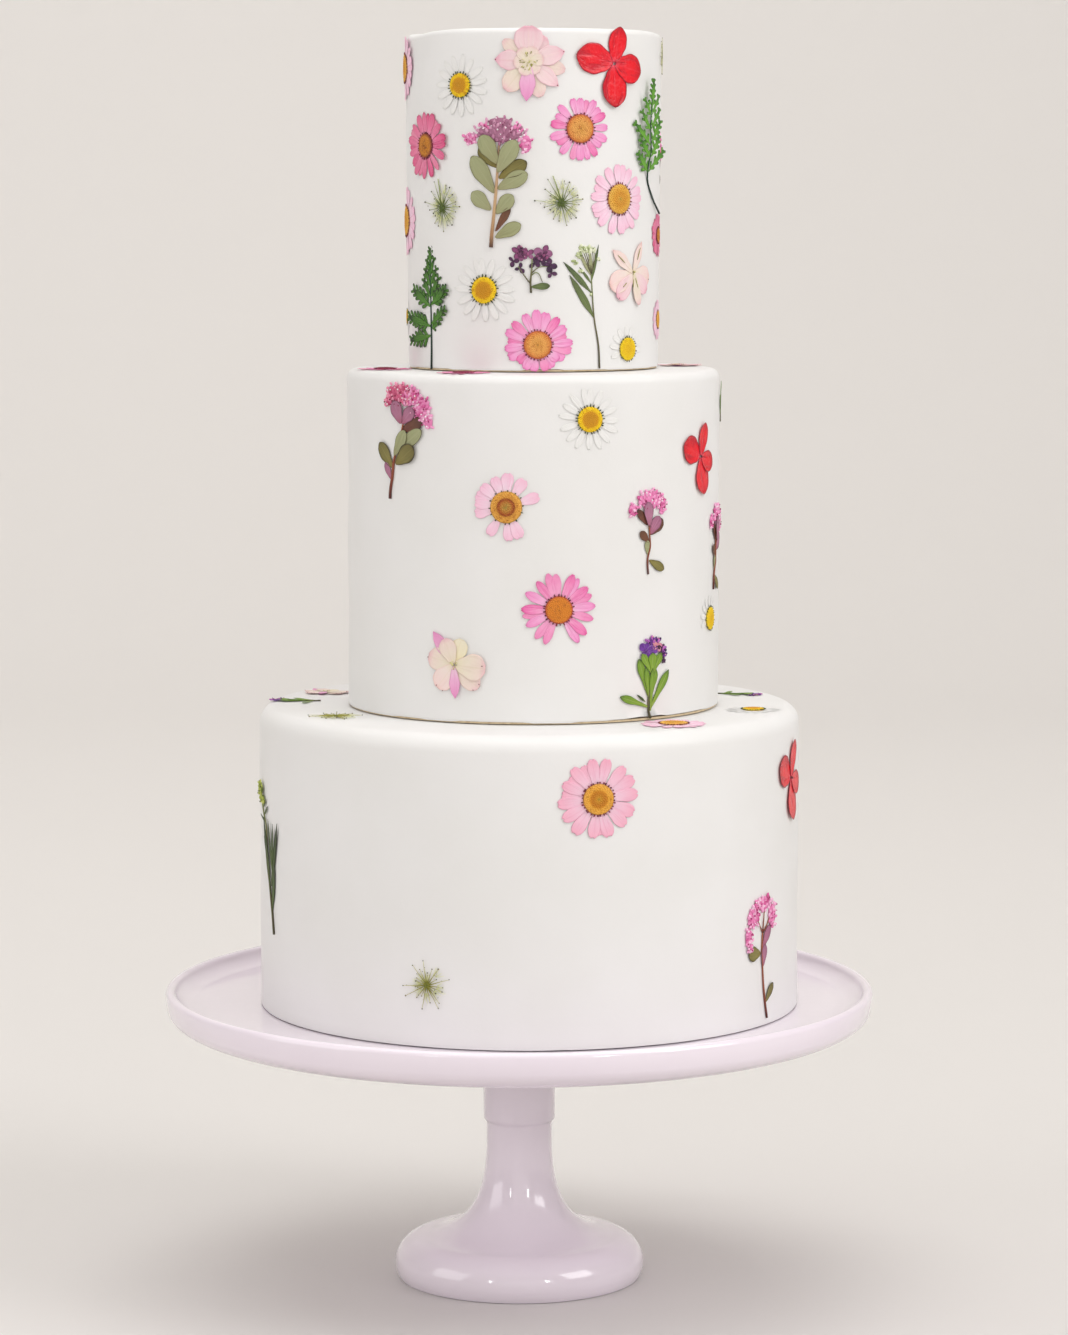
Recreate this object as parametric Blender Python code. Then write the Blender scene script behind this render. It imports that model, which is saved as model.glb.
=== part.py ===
# Three-tier white cake with pressed edible flowers, standing on its pedestal stand.
# Units are metres, +Z is up, and the origin is the middle of the stand's foot on the table.
# The front of the cake faces -Y. An azimuth of 0 degrees is the front, and it grows towards +X.

import math
import random

import bmesh
import bpy
from mathutils import Matrix, Vector

# Clear space between pieces that rest on each other
REST_GAP = 0.0003

# Pedestal stand, turned about the origin axis
FOOT_RADIUS = 0.0534
FOOT_SHOULDER_RADIUS = 0.0404
FOOT_BEAD_HEIGHT = 0.0060
FOOT_SHOULDER_HEIGHT = 0.0178
FOOT_BEAD_START = -29.0
COLUMN_RADIUS = 0.0140
COLUMN_HEIGHT = 0.0580
COLLAR_RADIUS = 0.0153
COLLAR_BOTTOM = 0.0660
COLLAR_TOP = 0.0800
PLATE_RADIUS = 0.1500
PLATE_SURFACE = 0.1196
PLATE_FLAT_RADIUS = 0.1385
PLATE_UNDERSIDE_RADIUS = 0.1310
PLATE_UNDERSIDE_HEIGHT = 0.1090
RIM_HEIGHT = 0.1262
RIM_THICKNESS = 0.0044
RIM_OVERHANG = 0.0006
STAND_SEGMENTS = 48

# Curves of the stand: where the foot's sweep is pulled to, the collar's rise, the flare under the plate,
# the outer band and the curve from the rim down to the plate
SWEEP_START_PULL = (0.0134, 0.0027)
SWEEP_END_PULL = 0.0092
COLLAR_RISE = 0.0030
FLARE_HANDLES = ((0.0159, 0.0950), (0.0240, 0.1035))
FLARE_END = (0.0460, 0.1055)
BAND_HANDLES = ((0.1420, 0.1098), (0.1488, 0.1130))
BAND_END_HEIGHT = 0.1175
PLATE_CURVE = (0.0035, 0.0025)

# Tiers: radius at the base and near the top, lower and upper face, edge rounding, sideways shift
TIER_SEGMENTS = 64
TIERS = {
    "bottom": {"radius": 0.1143, "top_radius": 0.1143, "base": 0.1199, "top": 0.2470,
               "edge": 0.0070, "shift": 0.0043},
    "middle": {"radius": 0.0783, "top_radius": 0.0783, "base": 0.2484, "top": 0.3889,
               "edge": 0.0050, "shift": 0.0060},
    "top": {"radius": 0.0524, "top_radius": 0.0534, "base": 0.3903, "top": 0.5283,
            "edge": 0.0030, "shift": 0.0060},
}
EDGE_STEPS = 3

# Turned solids shade smooth across edges flatter than this, in degrees
SHARP_ANGLE = 40.0

# Thin card disc under the middle and the top tier
BOARD_THICKNESS = 0.0008
BOARD_INSET = 0.0006

# Pressed flowers: how far they stand off the icing, and how thick petals and stems are
SKIN_GAP = 0.00035
PETAL_THICKNESS = 0.0005
DISC_THICKNESS = 0.0013
SLICE_WIDTH = 0.0068
SLICE_OFFSET = 0.0004

# How far a petal's tip or a leaf can rise off the icing, and the length of a sprig's waves
TIP_LIFT = {"daisy": 0.0005, "blossom": 0.0009, "sprig": 0.0003}
WAVE_LENGTH = 0.0140

# How unlike each other the petals of a flower are: shortest length, sideways lean; bow of a sprig's stem
SHORTEST_PETAL = 0.93
SHORTEST_BROAD_PETAL = 0.92
PETAL_LEAN = 0.06
SPRIG_BOW = 0.03

# Colours: base colour, roughness
COLOURS = {
    "icing": ((0.86, 0.85, 0.83), 0.42),
    "card": ((0.55, 0.42, 0.28), 0.80),
    "glaze": ((0.78, 0.66, 0.73), 0.12),
    "pink_daisy": ((0.80, 0.25, 0.47), 0.60),
    "pale_daisy": ((0.90, 0.55, 0.68), 0.60),
    "rose_daisy": ((0.72, 0.13, 0.28), 0.60),
    "white_daisy": ((0.90, 0.80, 0.35), 0.60),
    "larkspur": ((0.92, 0.70, 0.70), 0.60),
    "red_floret": ((0.70, 0.02, 0.05), 0.55),
    "umbel": ((0.35, 0.38, 0.12), 0.65),
    "stonecrop": ((0.42, 0.12, 0.24), 0.65),
    "fern": ((0.05, 0.16, 0.03), 0.65),
    "narrow_sprig": ((0.12, 0.18, 0.07), 0.65),
    "purple_sprig": ((0.16, 0.10, 0.16), 0.65),
    "dark_sprig": ((0.07, 0.02, 0.07), 0.65),
    "leaf": ((0.12, 0.30, 0.05), 0.65),
}

# Flat round flowers: petals, half width of a petal's end and radius of the notch between petals
ROUND_FLOWERS = {
    "pink_daisy": {"petals": 13, "end": 0.36, "notch": 0.62, "disc": True},
    "pale_daisy": {"petals": 12, "end": 0.34, "notch": 0.56, "disc": True},
    "rose_daisy": {"petals": 12, "end": 0.32, "notch": 0.58, "disc": True},
    "white_daisy": {"petals": 11, "end": 0.34, "notch": 0.52, "disc": True},
    "umbel": {"petals": 11, "end": 0.10, "notch": 0.26, "disc": False},
}

# Blossoms with a few broad petals: petals, depth of the notch between them and points in each petal
BROAD_FLOWERS = {
    "larkspur": {"petals": 5, "notch": 0.50, "points": 4},
    "red_floret": {"petals": 4, "notch": 0.36, "points": 5},
}
PETAL_FULLNESS = 0.7
INNER_RING = 0.48

# Sprigs, as shares of their height: stem half width, head half width, head half height, lobes in the
# head's edge, and leaves as (height on the stem, side, length, half width, angle from the stem)
SPRIGS = {
    "stonecrop": {"stem": 0.014, "head": (0.25, 0.13), "lobes": 6, "leaves": [
        (0.16, 1, 0.20, 0.055, 38), (0.24, -1, 0.20, 0.060, 48), (0.40, 1, 0.22, 0.065, 52),
        (0.52, -1, 0.20, 0.060, 50)]},
    "narrow_sprig": {"stem": 0.013, "head": (0.045, 0.11), "lobes": 3, "leaves": [
        (0.30, 1, 0.30, 0.020, 16), (0.38, -1, 0.30, 0.020, 20), (0.56, 1, 0.26, 0.022, 24),
        (0.62, -1, 0.22, 0.022, 26)]},
    "purple_sprig": {"stem": 0.018, "head": (0.20, 0.13), "lobes": 5, "leaves": [
        (0.14, 1, 0.34, 0.050, 36), (0.16, -1, 0.36, 0.050, 44), (0.42, 1, 0.26, 0.045, 32),
        (0.44, -1, 0.26, 0.045, 30)]},
    "dark_sprig": {"stem": 0.030, "head": (0.56, 0.26), "lobes": 6, "leaves": [
        (0.10, 1, 0.22, 0.060, 50), (0.18, -1, 0.20, 0.060, 46)]},
    "leaf": {"stem": 0.030, "head": (0.22, 0.40), "lobes": 2, "leaves": []},
}

# The first pair of a fern's leaves is a little shorter; higher ones get shorter, narrower and steeper
FERN = {"stem": 0.013, "bare": 0.26, "pairs": 5, "tip_room": 0.6, "reach": 0.25, "half_width": 0.050,
        "angle": 58, "first": 0.88, "shorter": 0.62, "narrower": 0.35, "steeper": 16, "tip": (0.030, 0.93)}

# A leaf's outline from its root and back, as shares of its length and of its half width
LEAF_OUTLINE = ((0.40, -1.0), (0.80, -0.8), (1.0, 0.0), (0.60, 1.0), (0.24, 0.55))

# A head's outline: angle where it starts, angle it runs through, and how far the dents between lobes reach
HEAD_START = -62
HEAD_SWEEP = 304
HEAD_DENT = 0.86

# Flowers on the sides of the tiers: kind, azimuth, height above the tier's base, size, turn.
# A sprig's height is that of its foot and its size is its length.
SIDE_FLOWERS = {
    "top": [
        ("larkspur", -2, 0.1245, 0.028, 12), ("red_floret", 38, 0.1235, 0.031, 8),
        ("white_daisy", -34, 0.1150, 0.022, 0), ("pink_daisy", 21, 0.0990, 0.026, 5),
        ("rose_daisy", -56, 0.0930, 0.0265, 9), ("stonecrop", -19, 0.0510, 0.052, -3),
        ("fern", 74, 0.0640, 0.056, 4), ("umbel", -46, 0.0670, 0.023, 4),
        ("umbel", 14, 0.0690, 0.022, 11), ("pale_daisy", 41.5, 0.0700, 0.027, 3),
        ("pale_daisy", -88, 0.0590, 0.027, 7), ("pink_daisy", -88, 0.1230, 0.027, 2),
        ("umbel", 88, 0.1280, 0.016, 6), ("fern", -53, 0.0010, 0.050, 0),
        ("white_daisy", -23, 0.0320, 0.023, 5), ("dark_sprig", -1, 0.0310, 0.019, 0),
        ("narrow_sprig", 31, 0.0010, 0.051, 4), ("larkspur", 51, 0.0386, 0.027, 20),
        ("pink_daisy", 3, 0.0132, 0.0255, 0), ("white_daisy", 48, 0.0108, 0.020, 8),
        ("rose_daisy", 78, 0.0540, 0.019, 0), ("pale_daisy", 78, 0.0190, 0.019, 4),
        ("pink_daisy", 128, 0.0960, 0.026, 6), ("larkspur", 172, 0.0700, 0.028, 0),
        ("stonecrop", -135, 0.0400, 0.050, 5),
    ],
    "middle": [
        ("stonecrop", -49, 0.0900, 0.048, -12), ("white_daisy", 17, 0.1240, 0.022, 0),
        ("pale_daisy", -9, 0.0890, 0.026, 4), ("pink_daisy", 7, 0.0470, 0.029, 10),
        ("larkspur", -24, 0.0240, 0.028, 30), ("red_floret", 61, 0.1060, 0.028, 5),
        ("stonecrop", 37.5, 0.0610, 0.035, 0), ("stonecrop", 70, 0.0500, 0.037, -13),
        ("white_daisy", 71, 0.0360, 0.020, 6), ("purple_sprig", 38, 0.0010, 0.033, 0),
        ("leaf", 87.5, 0.1180, 0.017, 0), ("pale_daisy", 150, 0.0980, 0.029, 0),
        ("red_floret", -140, 0.0650, 0.030, 16),
    ],
    "bottom": [
        ("pale_daisy", 14, 0.1015, 0.033, 6), ("red_floret", 72, 0.1000, 0.033, 4),
        ("stonecrop", 59, 0.0030, 0.052, 1), ("narrow_sprig", -68, 0.0350, 0.065, 10),
        ("umbel", -21, 0.0255, 0.021, 8), ("pink_daisy", 165, 0.0800, 0.032, 3),
        ("fern", -150, 0.0300, 0.056, -6),
    ],
}

# Flowers lying on the upper faces: kind, azimuth and radius from the tier's axis, size, turn
FLAT_FLOWERS = {
    "middle": [
        ("pink_daisy", -70, 0.0648, 0.0222, 0), ("pink_daisy", -24, 0.0648, 0.0222, 9),
        ("larkspur", 108, 0.0645, 0.0210, 0),
    ],
    "bottom": [
        ("purple_sprig", -94, 0.0890, 0.0220, 84), ("umbel", -58, 0.0940, 0.0230, 0),
        ("pale_daisy", 42, 0.0925, 0.0250, 5), ("white_daisy", 75, 0.0970, 0.0200, 0),
        ("purple_sprig", 112, 0.0870, 0.0200, -100), ("larkspur", -113, 0.0960, 0.0220, 0),
    ],
}


def clear_scene():
    for item in list(bpy.data.objects):
        bpy.data.objects.remove(item, do_unlink=True)


def colour_of(kind):
    found = bpy.data.materials.get(kind)
    if found:
        return found
    colour, roughness = COLOURS[kind]
    material = bpy.data.materials.new(kind)
    material.use_nodes = True
    shader = material.node_tree.nodes["Principled BSDF"]
    shader.inputs["Base Color"].default_value = (*colour, 1.0)
    shader.inputs["Roughness"].default_value = roughness
    shader.inputs["Metallic"].default_value = 0.0
    return material


def add_object(name, bm, kind):
    mesh = bpy.data.meshes.new(name)
    bm.to_mesh(mesh)
    bm.free()
    mesh.materials.append(colour_of(kind))
    item = bpy.data.objects.new(name, mesh)
    bpy.context.collection.objects.link(item)
    return item


def arc(centre, radii, start, end, steps):
    # Points along an elliptical arc, as (radius, height), both ends included
    points = []
    for step in range(steps + 1):
        angle = math.radians(start + (end - start) * step / steps)
        points.append((centre[0] + radii[0] * math.cos(angle), centre[1] + radii[1] * math.sin(angle)))
    return points


def curve(start, first, second, end, steps):
    # Points along a cubic curve, its start left out
    points = []
    for step in range(1, steps + 1):
        t = step / steps
        weights = ((1 - t) ** 3, 3 * t * (1 - t) ** 2, 3 * t * t * (1 - t), t ** 3)
        points.append(tuple(sum(w * p[k] for w, p in zip(weights, (start, first, second, end)))
                            for k in (0, 1)))
    return points


def turned(name, profile, segments, shift, kind):
    # Solid of revolution; the profile runs from the axis below to the axis above
    bm = bmesh.new()
    verts = [bm.verts.new((radius, 0.0, height)) for radius, height in profile]
    edges = [bm.edges.new(pair) for pair in zip(verts, verts[1:])]
    bmesh.ops.spin(bm, geom=verts + edges, cent=(0, 0, 0), axis=(0, 0, 1),
                   angle=2 * math.pi, steps=segments, use_merge=True)
    bmesh.ops.remove_doubles(bm, verts=bm.verts, dist=1e-6)
    bmesh.ops.recalc_face_normals(bm, faces=bm.faces)
    bmesh.ops.translate(bm, verts=bm.verts, vec=(shift, 0, 0))
    item = add_object(name, bm, kind)
    item.data.shade_smooth()
    item.data.set_sharp_from_angle(angle=math.radians(SHARP_ANGLE))
    return item


def cake_stand():
    foot_width = FOOT_RADIUS - FOOT_SHOULDER_RADIUS
    foot_rise = FOOT_SHOULDER_HEIGHT - FOOT_BEAD_HEIGHT
    foot_drop = FOOT_BEAD_HEIGHT / math.sin(math.radians(-FOOT_BEAD_START))
    foot = arc((FOOT_SHOULDER_RADIUS, FOOT_BEAD_HEIGHT), (foot_width, foot_drop), FOOT_BEAD_START, 0, 2)
    foot += arc((FOOT_SHOULDER_RADIUS, FOOT_BEAD_HEIGHT), (foot_width, foot_rise), 0, 90, 4)[1:]
    shoulder = foot[-1]
    column_foot = (COLUMN_RADIUS, COLUMN_HEIGHT)
    sweep = curve(shoulder, (shoulder[0] - SWEEP_START_PULL[0], shoulder[1] + SWEEP_START_PULL[1]),
                  (COLUMN_RADIUS, shoulder[1] + SWEEP_END_PULL), column_foot, 5)
    collar = [(COLUMN_RADIUS, COLLAR_BOTTOM), (COLLAR_RADIUS, COLLAR_BOTTOM + COLLAR_RISE),
              (COLLAR_RADIUS, COLLAR_TOP)]
    underside = (PLATE_UNDERSIDE_RADIUS, PLATE_UNDERSIDE_HEIGHT)
    flare = curve(collar[-1], *FLARE_HANDLES, FLARE_END, 2)
    band = curve(underside, *BAND_HANDLES, (PLATE_RADIUS, BAND_END_HEIGHT), 3)
    half = RIM_THICKNESS / 2
    rim = arc((PLATE_RADIUS + RIM_OVERHANG - half, RIM_HEIGHT - half), (half, half), 0, 180, 3)
    plate = curve(rim[-1], (rim[-1][0] - RIM_OVERHANG, PLATE_SURFACE + PLATE_CURVE[1]),
                  (PLATE_FLAT_RADIUS + PLATE_CURVE[0], PLATE_SURFACE), (PLATE_FLAT_RADIUS, PLATE_SURFACE), 2)
    profile = [(0, 0)] + foot + sweep + collar + flare + [underside] + band + rim + plate
    return turned("cake_stand", profile + [(0, PLATE_SURFACE)], STAND_SEGMENTS, 0, "glaze")


def tier_solid(name):
    tier = TIERS[name]
    edge = tier["edge"]
    rounding = arc((tier["top_radius"] - edge, tier["top"] - edge), (edge, edge), 0, 90, EDGE_STEPS)
    profile = [(0, tier["base"]), (tier["radius"], tier["base"])] + rounding + [(0, tier["top"])]
    return turned(name + "_tier", profile, TIER_SEGMENTS, tier["shift"], "icing")


def board_solid(name):
    tier = TIERS[name]
    radius = tier["radius"] - BOARD_INSET
    top = tier["base"] - REST_GAP
    bottom = top - BOARD_THICKNESS
    profile = [(0, bottom), (radius, bottom), (radius, top), (0, top)]
    return turned(name + "_board", profile, TIER_SEGMENTS, tier["shift"], "card")


def round_flower(kind, size, rng):
    # A flat sheet of many narrow petals round a middle; each vert's weight is its share of thickness
    form = ROUND_FLOWERS[kind]
    count = form["petals"]
    bm = bmesh.new()
    step = 2 * math.pi / count
    middle = bm.verts.new((0, 0, 0))
    notches = []
    ends = []
    for index in range(count):
        notch_angle = (index - 0.5) * step
        notch = form["notch"] * size / 2
        notches.append(bm.verts.new((notch * math.cos(notch_angle), notch * math.sin(notch_angle), 0)))
        reach = size / 2 * rng.uniform(SHORTEST_PETAL, 1.0)
        lean = step * rng.uniform(-PETAL_LEAN, PETAL_LEAN)
        pair = []
        for side in (-1, 1):
            angle = index * step + lean + side * form["end"] * step
            lift = TIP_LIFT["daisy"] * rng.random()
            pair.append(bm.verts.new((reach * math.cos(angle), reach * math.sin(angle), lift)))
        ends.append(pair)
    for index in range(count):
        here = notches[index]
        there = notches[(index + 1) % count]
        first, second = ends[index]
        bm.faces.new((middle, here, there))
        bm.faces.new((here, first, second))
        bm.faces.new((here, second, there))
    raised = [middle] if form["disc"] else []
    return bm, raised


def broad_flower(kind, size, rng):
    # A flat sheet of a few broad petals: an inner ring and a lobed rim round a middle
    form = BROAD_FLOWERS[kind]
    count = form["petals"] * form["points"]
    bm = bmesh.new()
    middle = bm.verts.new((0, 0, 0))
    reaches = [size / 2 * rng.uniform(SHORTEST_BROAD_PETAL, 1.0) for _ in range(form["petals"])]
    inner = []
    rim = []
    for index in range(count):
        share = (index % form["points"]) / form["points"]
        lobe = form["notch"] + (1 - form["notch"]) * math.sin(math.pi * share) ** PETAL_FULLNESS
        reach = reaches[index // form["points"]] * lobe
        angle = 2 * math.pi * index / count
        direction = Vector((math.cos(angle), math.sin(angle), 0))
        inner.append(bm.verts.new(direction * reach * INNER_RING))
        lift = TIP_LIFT["blossom"] * math.sin(math.pi * share)
        rim.append(bm.verts.new(direction * reach + Vector((0, 0, lift))))
    for index in range(count):
        following = (index + 1) % count
        bm.faces.new((middle, inner[index], inner[following]))
        bm.faces.new((inner[index], rim[index], rim[following]))
        bm.faces.new((inner[index], rim[following], inner[following]))
    return bm, []


def side_walk(leaves, stem):
    # Outline up the right side of a stem, round each leaf on the way, as (u, v) points
    points = []
    for height, length, half_width, lean in leaves:
        heading = math.radians(90 - lean)
        along = Vector((math.cos(heading), math.sin(heading))) * length
        across = Vector((-math.sin(heading), math.cos(heading))) * half_width
        root = Vector((stem, height))
        points.append(root)
        points += [root + along * reach + across * spread for reach, spread in LEAF_OUTLINE]
        points.append(Vector((stem, height + stem + half_width)))
    return points


def mirrored(points):
    return [Vector((-u, v)) for u, v in reversed(points)]


def sprig_outline(kind):
    # Closed outline of a sprig one unit tall, its foot at the origin
    if kind == "fern":
        leaves = []
        spacing = (1 - FERN["bare"]) / (FERN["pairs"] + FERN["tip_room"])
        for index in range(FERN["pairs"]):
            share = index / FERN["pairs"]
            reach = FERN["reach"] * (1 - FERN["shorter"] * share) * (FERN["first"] if index == 0 else 1.0)
            width = FERN["half_width"] * (1 - FERN["narrower"] * share)
            angle = FERN["angle"] - FERN["steeper"] * share
            leaves.append((FERN["bare"] + index * spacing, reach, width, angle))
        right = side_walk(leaves, FERN["stem"])
        left = mirrored(right)
        tip_width, tip_height = FERN["tip"]
        tip = [Vector((tip_width, tip_height)), Vector((0, 1)), Vector((-tip_width, tip_height))]
        return [Vector((FERN["stem"], 0))] + right + tip + left + [Vector((-FERN["stem"], 0))]
    form = SPRIGS[kind]
    stem = form["stem"]
    right = side_walk([(h, s, w, a) for h, side, s, w, a in form["leaves"] if side > 0], stem)
    left = mirrored(side_walk([(h, s, w, a) for h, side, s, w, a in form["leaves"] if side < 0], stem))
    half_width, half_height = form["head"]
    count = 2 * form["lobes"] - 1
    head = []
    for index in range(count):
        angle = math.radians(HEAD_START + HEAD_SWEEP * index / (count - 1))
        swell = 1.0 if index % 2 else HEAD_DENT
        head.append(Vector((half_width * swell * math.cos(angle),
                            1 - half_height + half_height * swell * math.sin(angle))))
    return [Vector((stem, 0))] + right + head + left + [Vector((-stem, 0))]


def sprig(kind, size, rng):
    # A flat sheet cut into upright slices, so that it can follow the curve of the icing
    bow = size * rng.uniform(-SPRIG_BOW, SPRIG_BOW)
    bm = bmesh.new()
    outline = [(u * size, v * size) for u, v in sprig_outline(kind)]
    verts = [bm.verts.new((u + bow * (v / size) ** 2, v, 0)) for u, v in outline]
    bm.faces.new(verts)
    span = max(abs(vert.co.x) for vert in verts)
    cuts = int(span / SLICE_WIDTH)
    for index in range(-cuts, cuts + 1):
        bmesh.ops.bisect_plane(bm, geom=bm.verts[:] + bm.edges[:] + bm.faces[:], dist=1e-7,
                               plane_co=(index * SLICE_WIDTH + SLICE_OFFSET, 0, 0), plane_no=(1, 0, 0))
    for vert in bm.verts:
        vert.co.z = TIP_LIFT["sprig"] * (1 + math.sin(2 * math.pi * vert.co.y / WAVE_LENGTH)) / 2
    return bm, []


def flower_sheet(kind, size, turn, rng):
    if kind in ROUND_FLOWERS:
        bm, raised = round_flower(kind, size, rng)
    elif kind in BROAD_FLOWERS:
        bm, raised = broad_flower(kind, size, rng)
    else:
        bm, raised = sprig(kind, size, rng)
    bmesh.ops.triangulate(bm, faces=bm.faces[:])
    bmesh.ops.rotate(bm, verts=bm.verts, cent=(0, 0, 0), matrix=Matrix.Rotation(math.radians(turn), 3, "Z"))
    bm.verts.index_update()
    return bm, [vert.index for vert in raised]


def press_flower(name, kind, bm, raised):
    # Gives the sheet its thickness, outwards from the icing
    item = add_object(name, bm, kind)
    solid = item.modifiers.new("Thickness", "SOLIDIFY")
    solid.offset = 1.0
    solid.thickness = PETAL_THICKNESS
    if raised:
        group = item.vertex_groups.new(name="disc")
        group.add(raised, 1.0, "REPLACE")
        solid.thickness = DISC_THICKNESS
        solid.vertex_group = group.name
        solid.thickness_vertex_group = PETAL_THICKNESS / DISC_THICKNESS
    return item


def side_flower(name, tier_name, kind, azimuth, height, size, turn, rng):
    tier = TIERS[tier_name]
    bm, raised = flower_sheet(kind, size, turn, rng)
    for vert in bm.verts:
        rise = height + vert.co.y
        share = rise / (tier["top"] - tier["base"])
        surface = tier["radius"] + (tier["top_radius"] - tier["radius"]) * share
        angle = math.radians(azimuth) + vert.co.x / surface
        radius = surface + SKIN_GAP + vert.co.z
        vert.co = (tier["shift"] + radius * math.sin(angle), -radius * math.cos(angle), tier["base"] + rise)
    return press_flower(name, kind, bm, raised)


def flat_flower(name, tier_name, kind, azimuth, radius, size, turn, rng):
    tier = TIERS[tier_name]
    bm, raised = flower_sheet(kind, size, turn, rng)
    angle = math.radians(azimuth)
    place = (tier["shift"] + radius * math.sin(angle), -radius * math.cos(angle), tier["top"] + SKIN_GAP)
    bmesh.ops.translate(bm, verts=bm.verts, vec=place)
    return press_flower(name, kind, bm, raised)


def pressed_flowers():
    numbers = {}
    for builder, layout in ((side_flower, SIDE_FLOWERS), (flat_flower, FLAT_FLOWERS)):
        for tier_name, flowers in layout.items():
            for kind, azimuth, place, size, turn in flowers:
                key = tier_name + "_" + kind
                numbers[key] = numbers.get(key, 0) + 1
                name = f"{key}_{numbers[key]:02d}"
                rng = random.Random(name)
                builder(name, tier_name, kind, azimuth, place, size, turn, rng)


clear_scene()
cake_stand()
for tier_label in TIERS:
    tier_solid(tier_label)
for tier_label in ("middle", "top"):
    board_solid(tier_label)
pressed_flowers()
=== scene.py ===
import math
import random

import bmesh
import bpy
from mathutils import Matrix, Vector


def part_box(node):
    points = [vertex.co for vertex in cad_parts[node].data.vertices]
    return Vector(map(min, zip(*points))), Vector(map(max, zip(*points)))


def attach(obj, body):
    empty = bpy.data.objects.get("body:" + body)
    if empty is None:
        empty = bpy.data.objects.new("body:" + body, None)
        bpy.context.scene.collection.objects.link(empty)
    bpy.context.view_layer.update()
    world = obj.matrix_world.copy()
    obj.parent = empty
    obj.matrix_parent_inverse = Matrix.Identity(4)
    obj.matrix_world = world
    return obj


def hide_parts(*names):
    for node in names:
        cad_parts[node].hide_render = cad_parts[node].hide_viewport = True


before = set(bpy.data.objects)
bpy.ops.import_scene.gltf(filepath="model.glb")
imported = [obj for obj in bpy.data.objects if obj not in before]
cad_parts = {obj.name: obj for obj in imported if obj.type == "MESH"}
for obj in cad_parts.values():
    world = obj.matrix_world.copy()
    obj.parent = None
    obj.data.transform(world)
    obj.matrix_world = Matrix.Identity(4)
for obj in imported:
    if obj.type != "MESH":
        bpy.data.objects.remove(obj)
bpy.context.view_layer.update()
print("frame loaded:", len(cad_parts), "nodes")

mm = 0.001
masters = {}             # flat flowers, modelled once each
scraps = []              # petals, leaves and blossoms that the flat flowers are copied from


# Helpers for modelling

def selectOnly(obj):
    if bpy.context.object and bpy.context.object.mode != "OBJECT":
        bpy.ops.object.mode_set(mode="OBJECT")
    bpy.ops.object.select_all(action="DESELECT")
    if obj:
        obj.select_set(True)
        bpy.context.view_layer.objects.active = obj


def startEdit(obj, everything=False):
    selectOnly(obj)
    bpy.ops.object.mode_set(mode="EDIT")
    bpy.ops.mesh.select_mode(type="VERT")
    bpy.ops.mesh.select_all(action="SELECT" if everything else "DESELECT")


def endEdit():
    bpy.ops.object.mode_set(mode="OBJECT")


def pickVerts(obj, test):
    mesh = bmesh.from_edit_mesh(obj.data)
    for vert in mesh.verts:
        vert.select = bool(test(vert))
    mesh.select_flush_mode()
    bmesh.update_edit_mesh(obj.data)


def applyModifiers(obj):
    selectOnly(obj)
    for modifier in list(obj.modifiers):
        bpy.ops.object.modifier_apply(modifier=modifier.name)


def paint(code):
    # a colour written as six hex digits, turned into linear light
    channels = [int(code[i:i + 2], 16) / 255 for i in (0, 2, 4)]
    return tuple(c / 12.92 if c <= 0.04045 else ((c + 0.055) / 1.055) ** 2.4 for c in channels) + (1.0,)


def rowsUnder(keys, rows):
    # each row's values under the shared keys; a last dictionary holds what only some rows have
    return {name: {**dict(zip(keys, row)), **(row[-1] if len(row) > len(keys) else {})}
            for name, row in rows.items()}


def headed(heading, reach):
    # a point on a heading, in radians clockwise from straight up
    return reach * math.sin(heading), reach * math.cos(heading)


def around(angle, reach):
    return reach * math.cos(angle), reach * math.sin(angle)


def setTones(obj, tones):
    # tone: a number from 0 to 1 at each point, which the finishes read
    layer = obj.data.attributes.get("tone") or obj.data.attributes.new("tone", "FLOAT", "POINT")
    layer.data.foreach_set("value", tones)


def copyOf(source, move, tone=None):
    twin = bpy.data.objects.new(source.name, source.data.copy())
    bpy.context.collection.objects.link(twin)
    twin.data.transform(move)
    if tone is not None:
        setTones(twin, [tone] * len(twin.data.vertices))
    return twin


def joinAll(pieces, name):
    selectOnly(pieces[0])
    for piece in pieces:
        piece.select_set(True)
    if len(pieces) > 1:
        bpy.ops.object.join()
    joined = bpy.context.object
    joined.name = name
    joined.data.name = name
    return joined


def placed(x, y, z, turn=0.0, scale=1.0, tilt=0.0, wide=1.0):
    # a matrix that scales, tilts about the length, turns and then moves
    return (Matrix.Translation((x, y, z)) @ Matrix.Rotation(turn, 4, "Z") @ Matrix.Rotation(tilt, 4, "Y")
            @ Matrix.Diagonal((scale * wide, scale, scale, 1)))


def between(points, share):
    # a smooth value between (share, value) points
    for (a, low), (b, high) in zip(points, points[1:]):
        if share <= b:
            t = (share - a) / (b - a)
            t = t * t * (3 - 2 * t)
            return low + (high - low) * t
    return points[-1][1]


# Node groups that the finishes share

def newGroup(name, inputs, outputs):
    group = bpy.data.node_groups.new(name, "ShaderNodeTree")
    for label, default in inputs:
        socket = group.interface.new_socket(name=label, in_out="INPUT", socket_type="NodeSocketFloat")
        socket.default_value = default
    for label in outputs:
        group.interface.new_socket(name=label, in_out="OUTPUT", socket_type="NodeSocketFloat")
    start = group.nodes.new("NodeGroupInput")
    end = group.nodes.new("NodeGroupOutput")
    return group, start, end


def feed(tree, socket, value):
    # a number or a colour is set, and another node's output is linked
    if isinstance(value, (int, float, tuple)):
        socket.default_value = value
    else:
        tree.links.new(value, socket)


def addMath(tree, operation, *values):
    node = tree.nodes.new("ShaderNodeMath")
    node.operation = operation
    for index, value in enumerate(values):
        feed(tree, node.inputs[index], value)
    return node.outputs[0]


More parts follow.
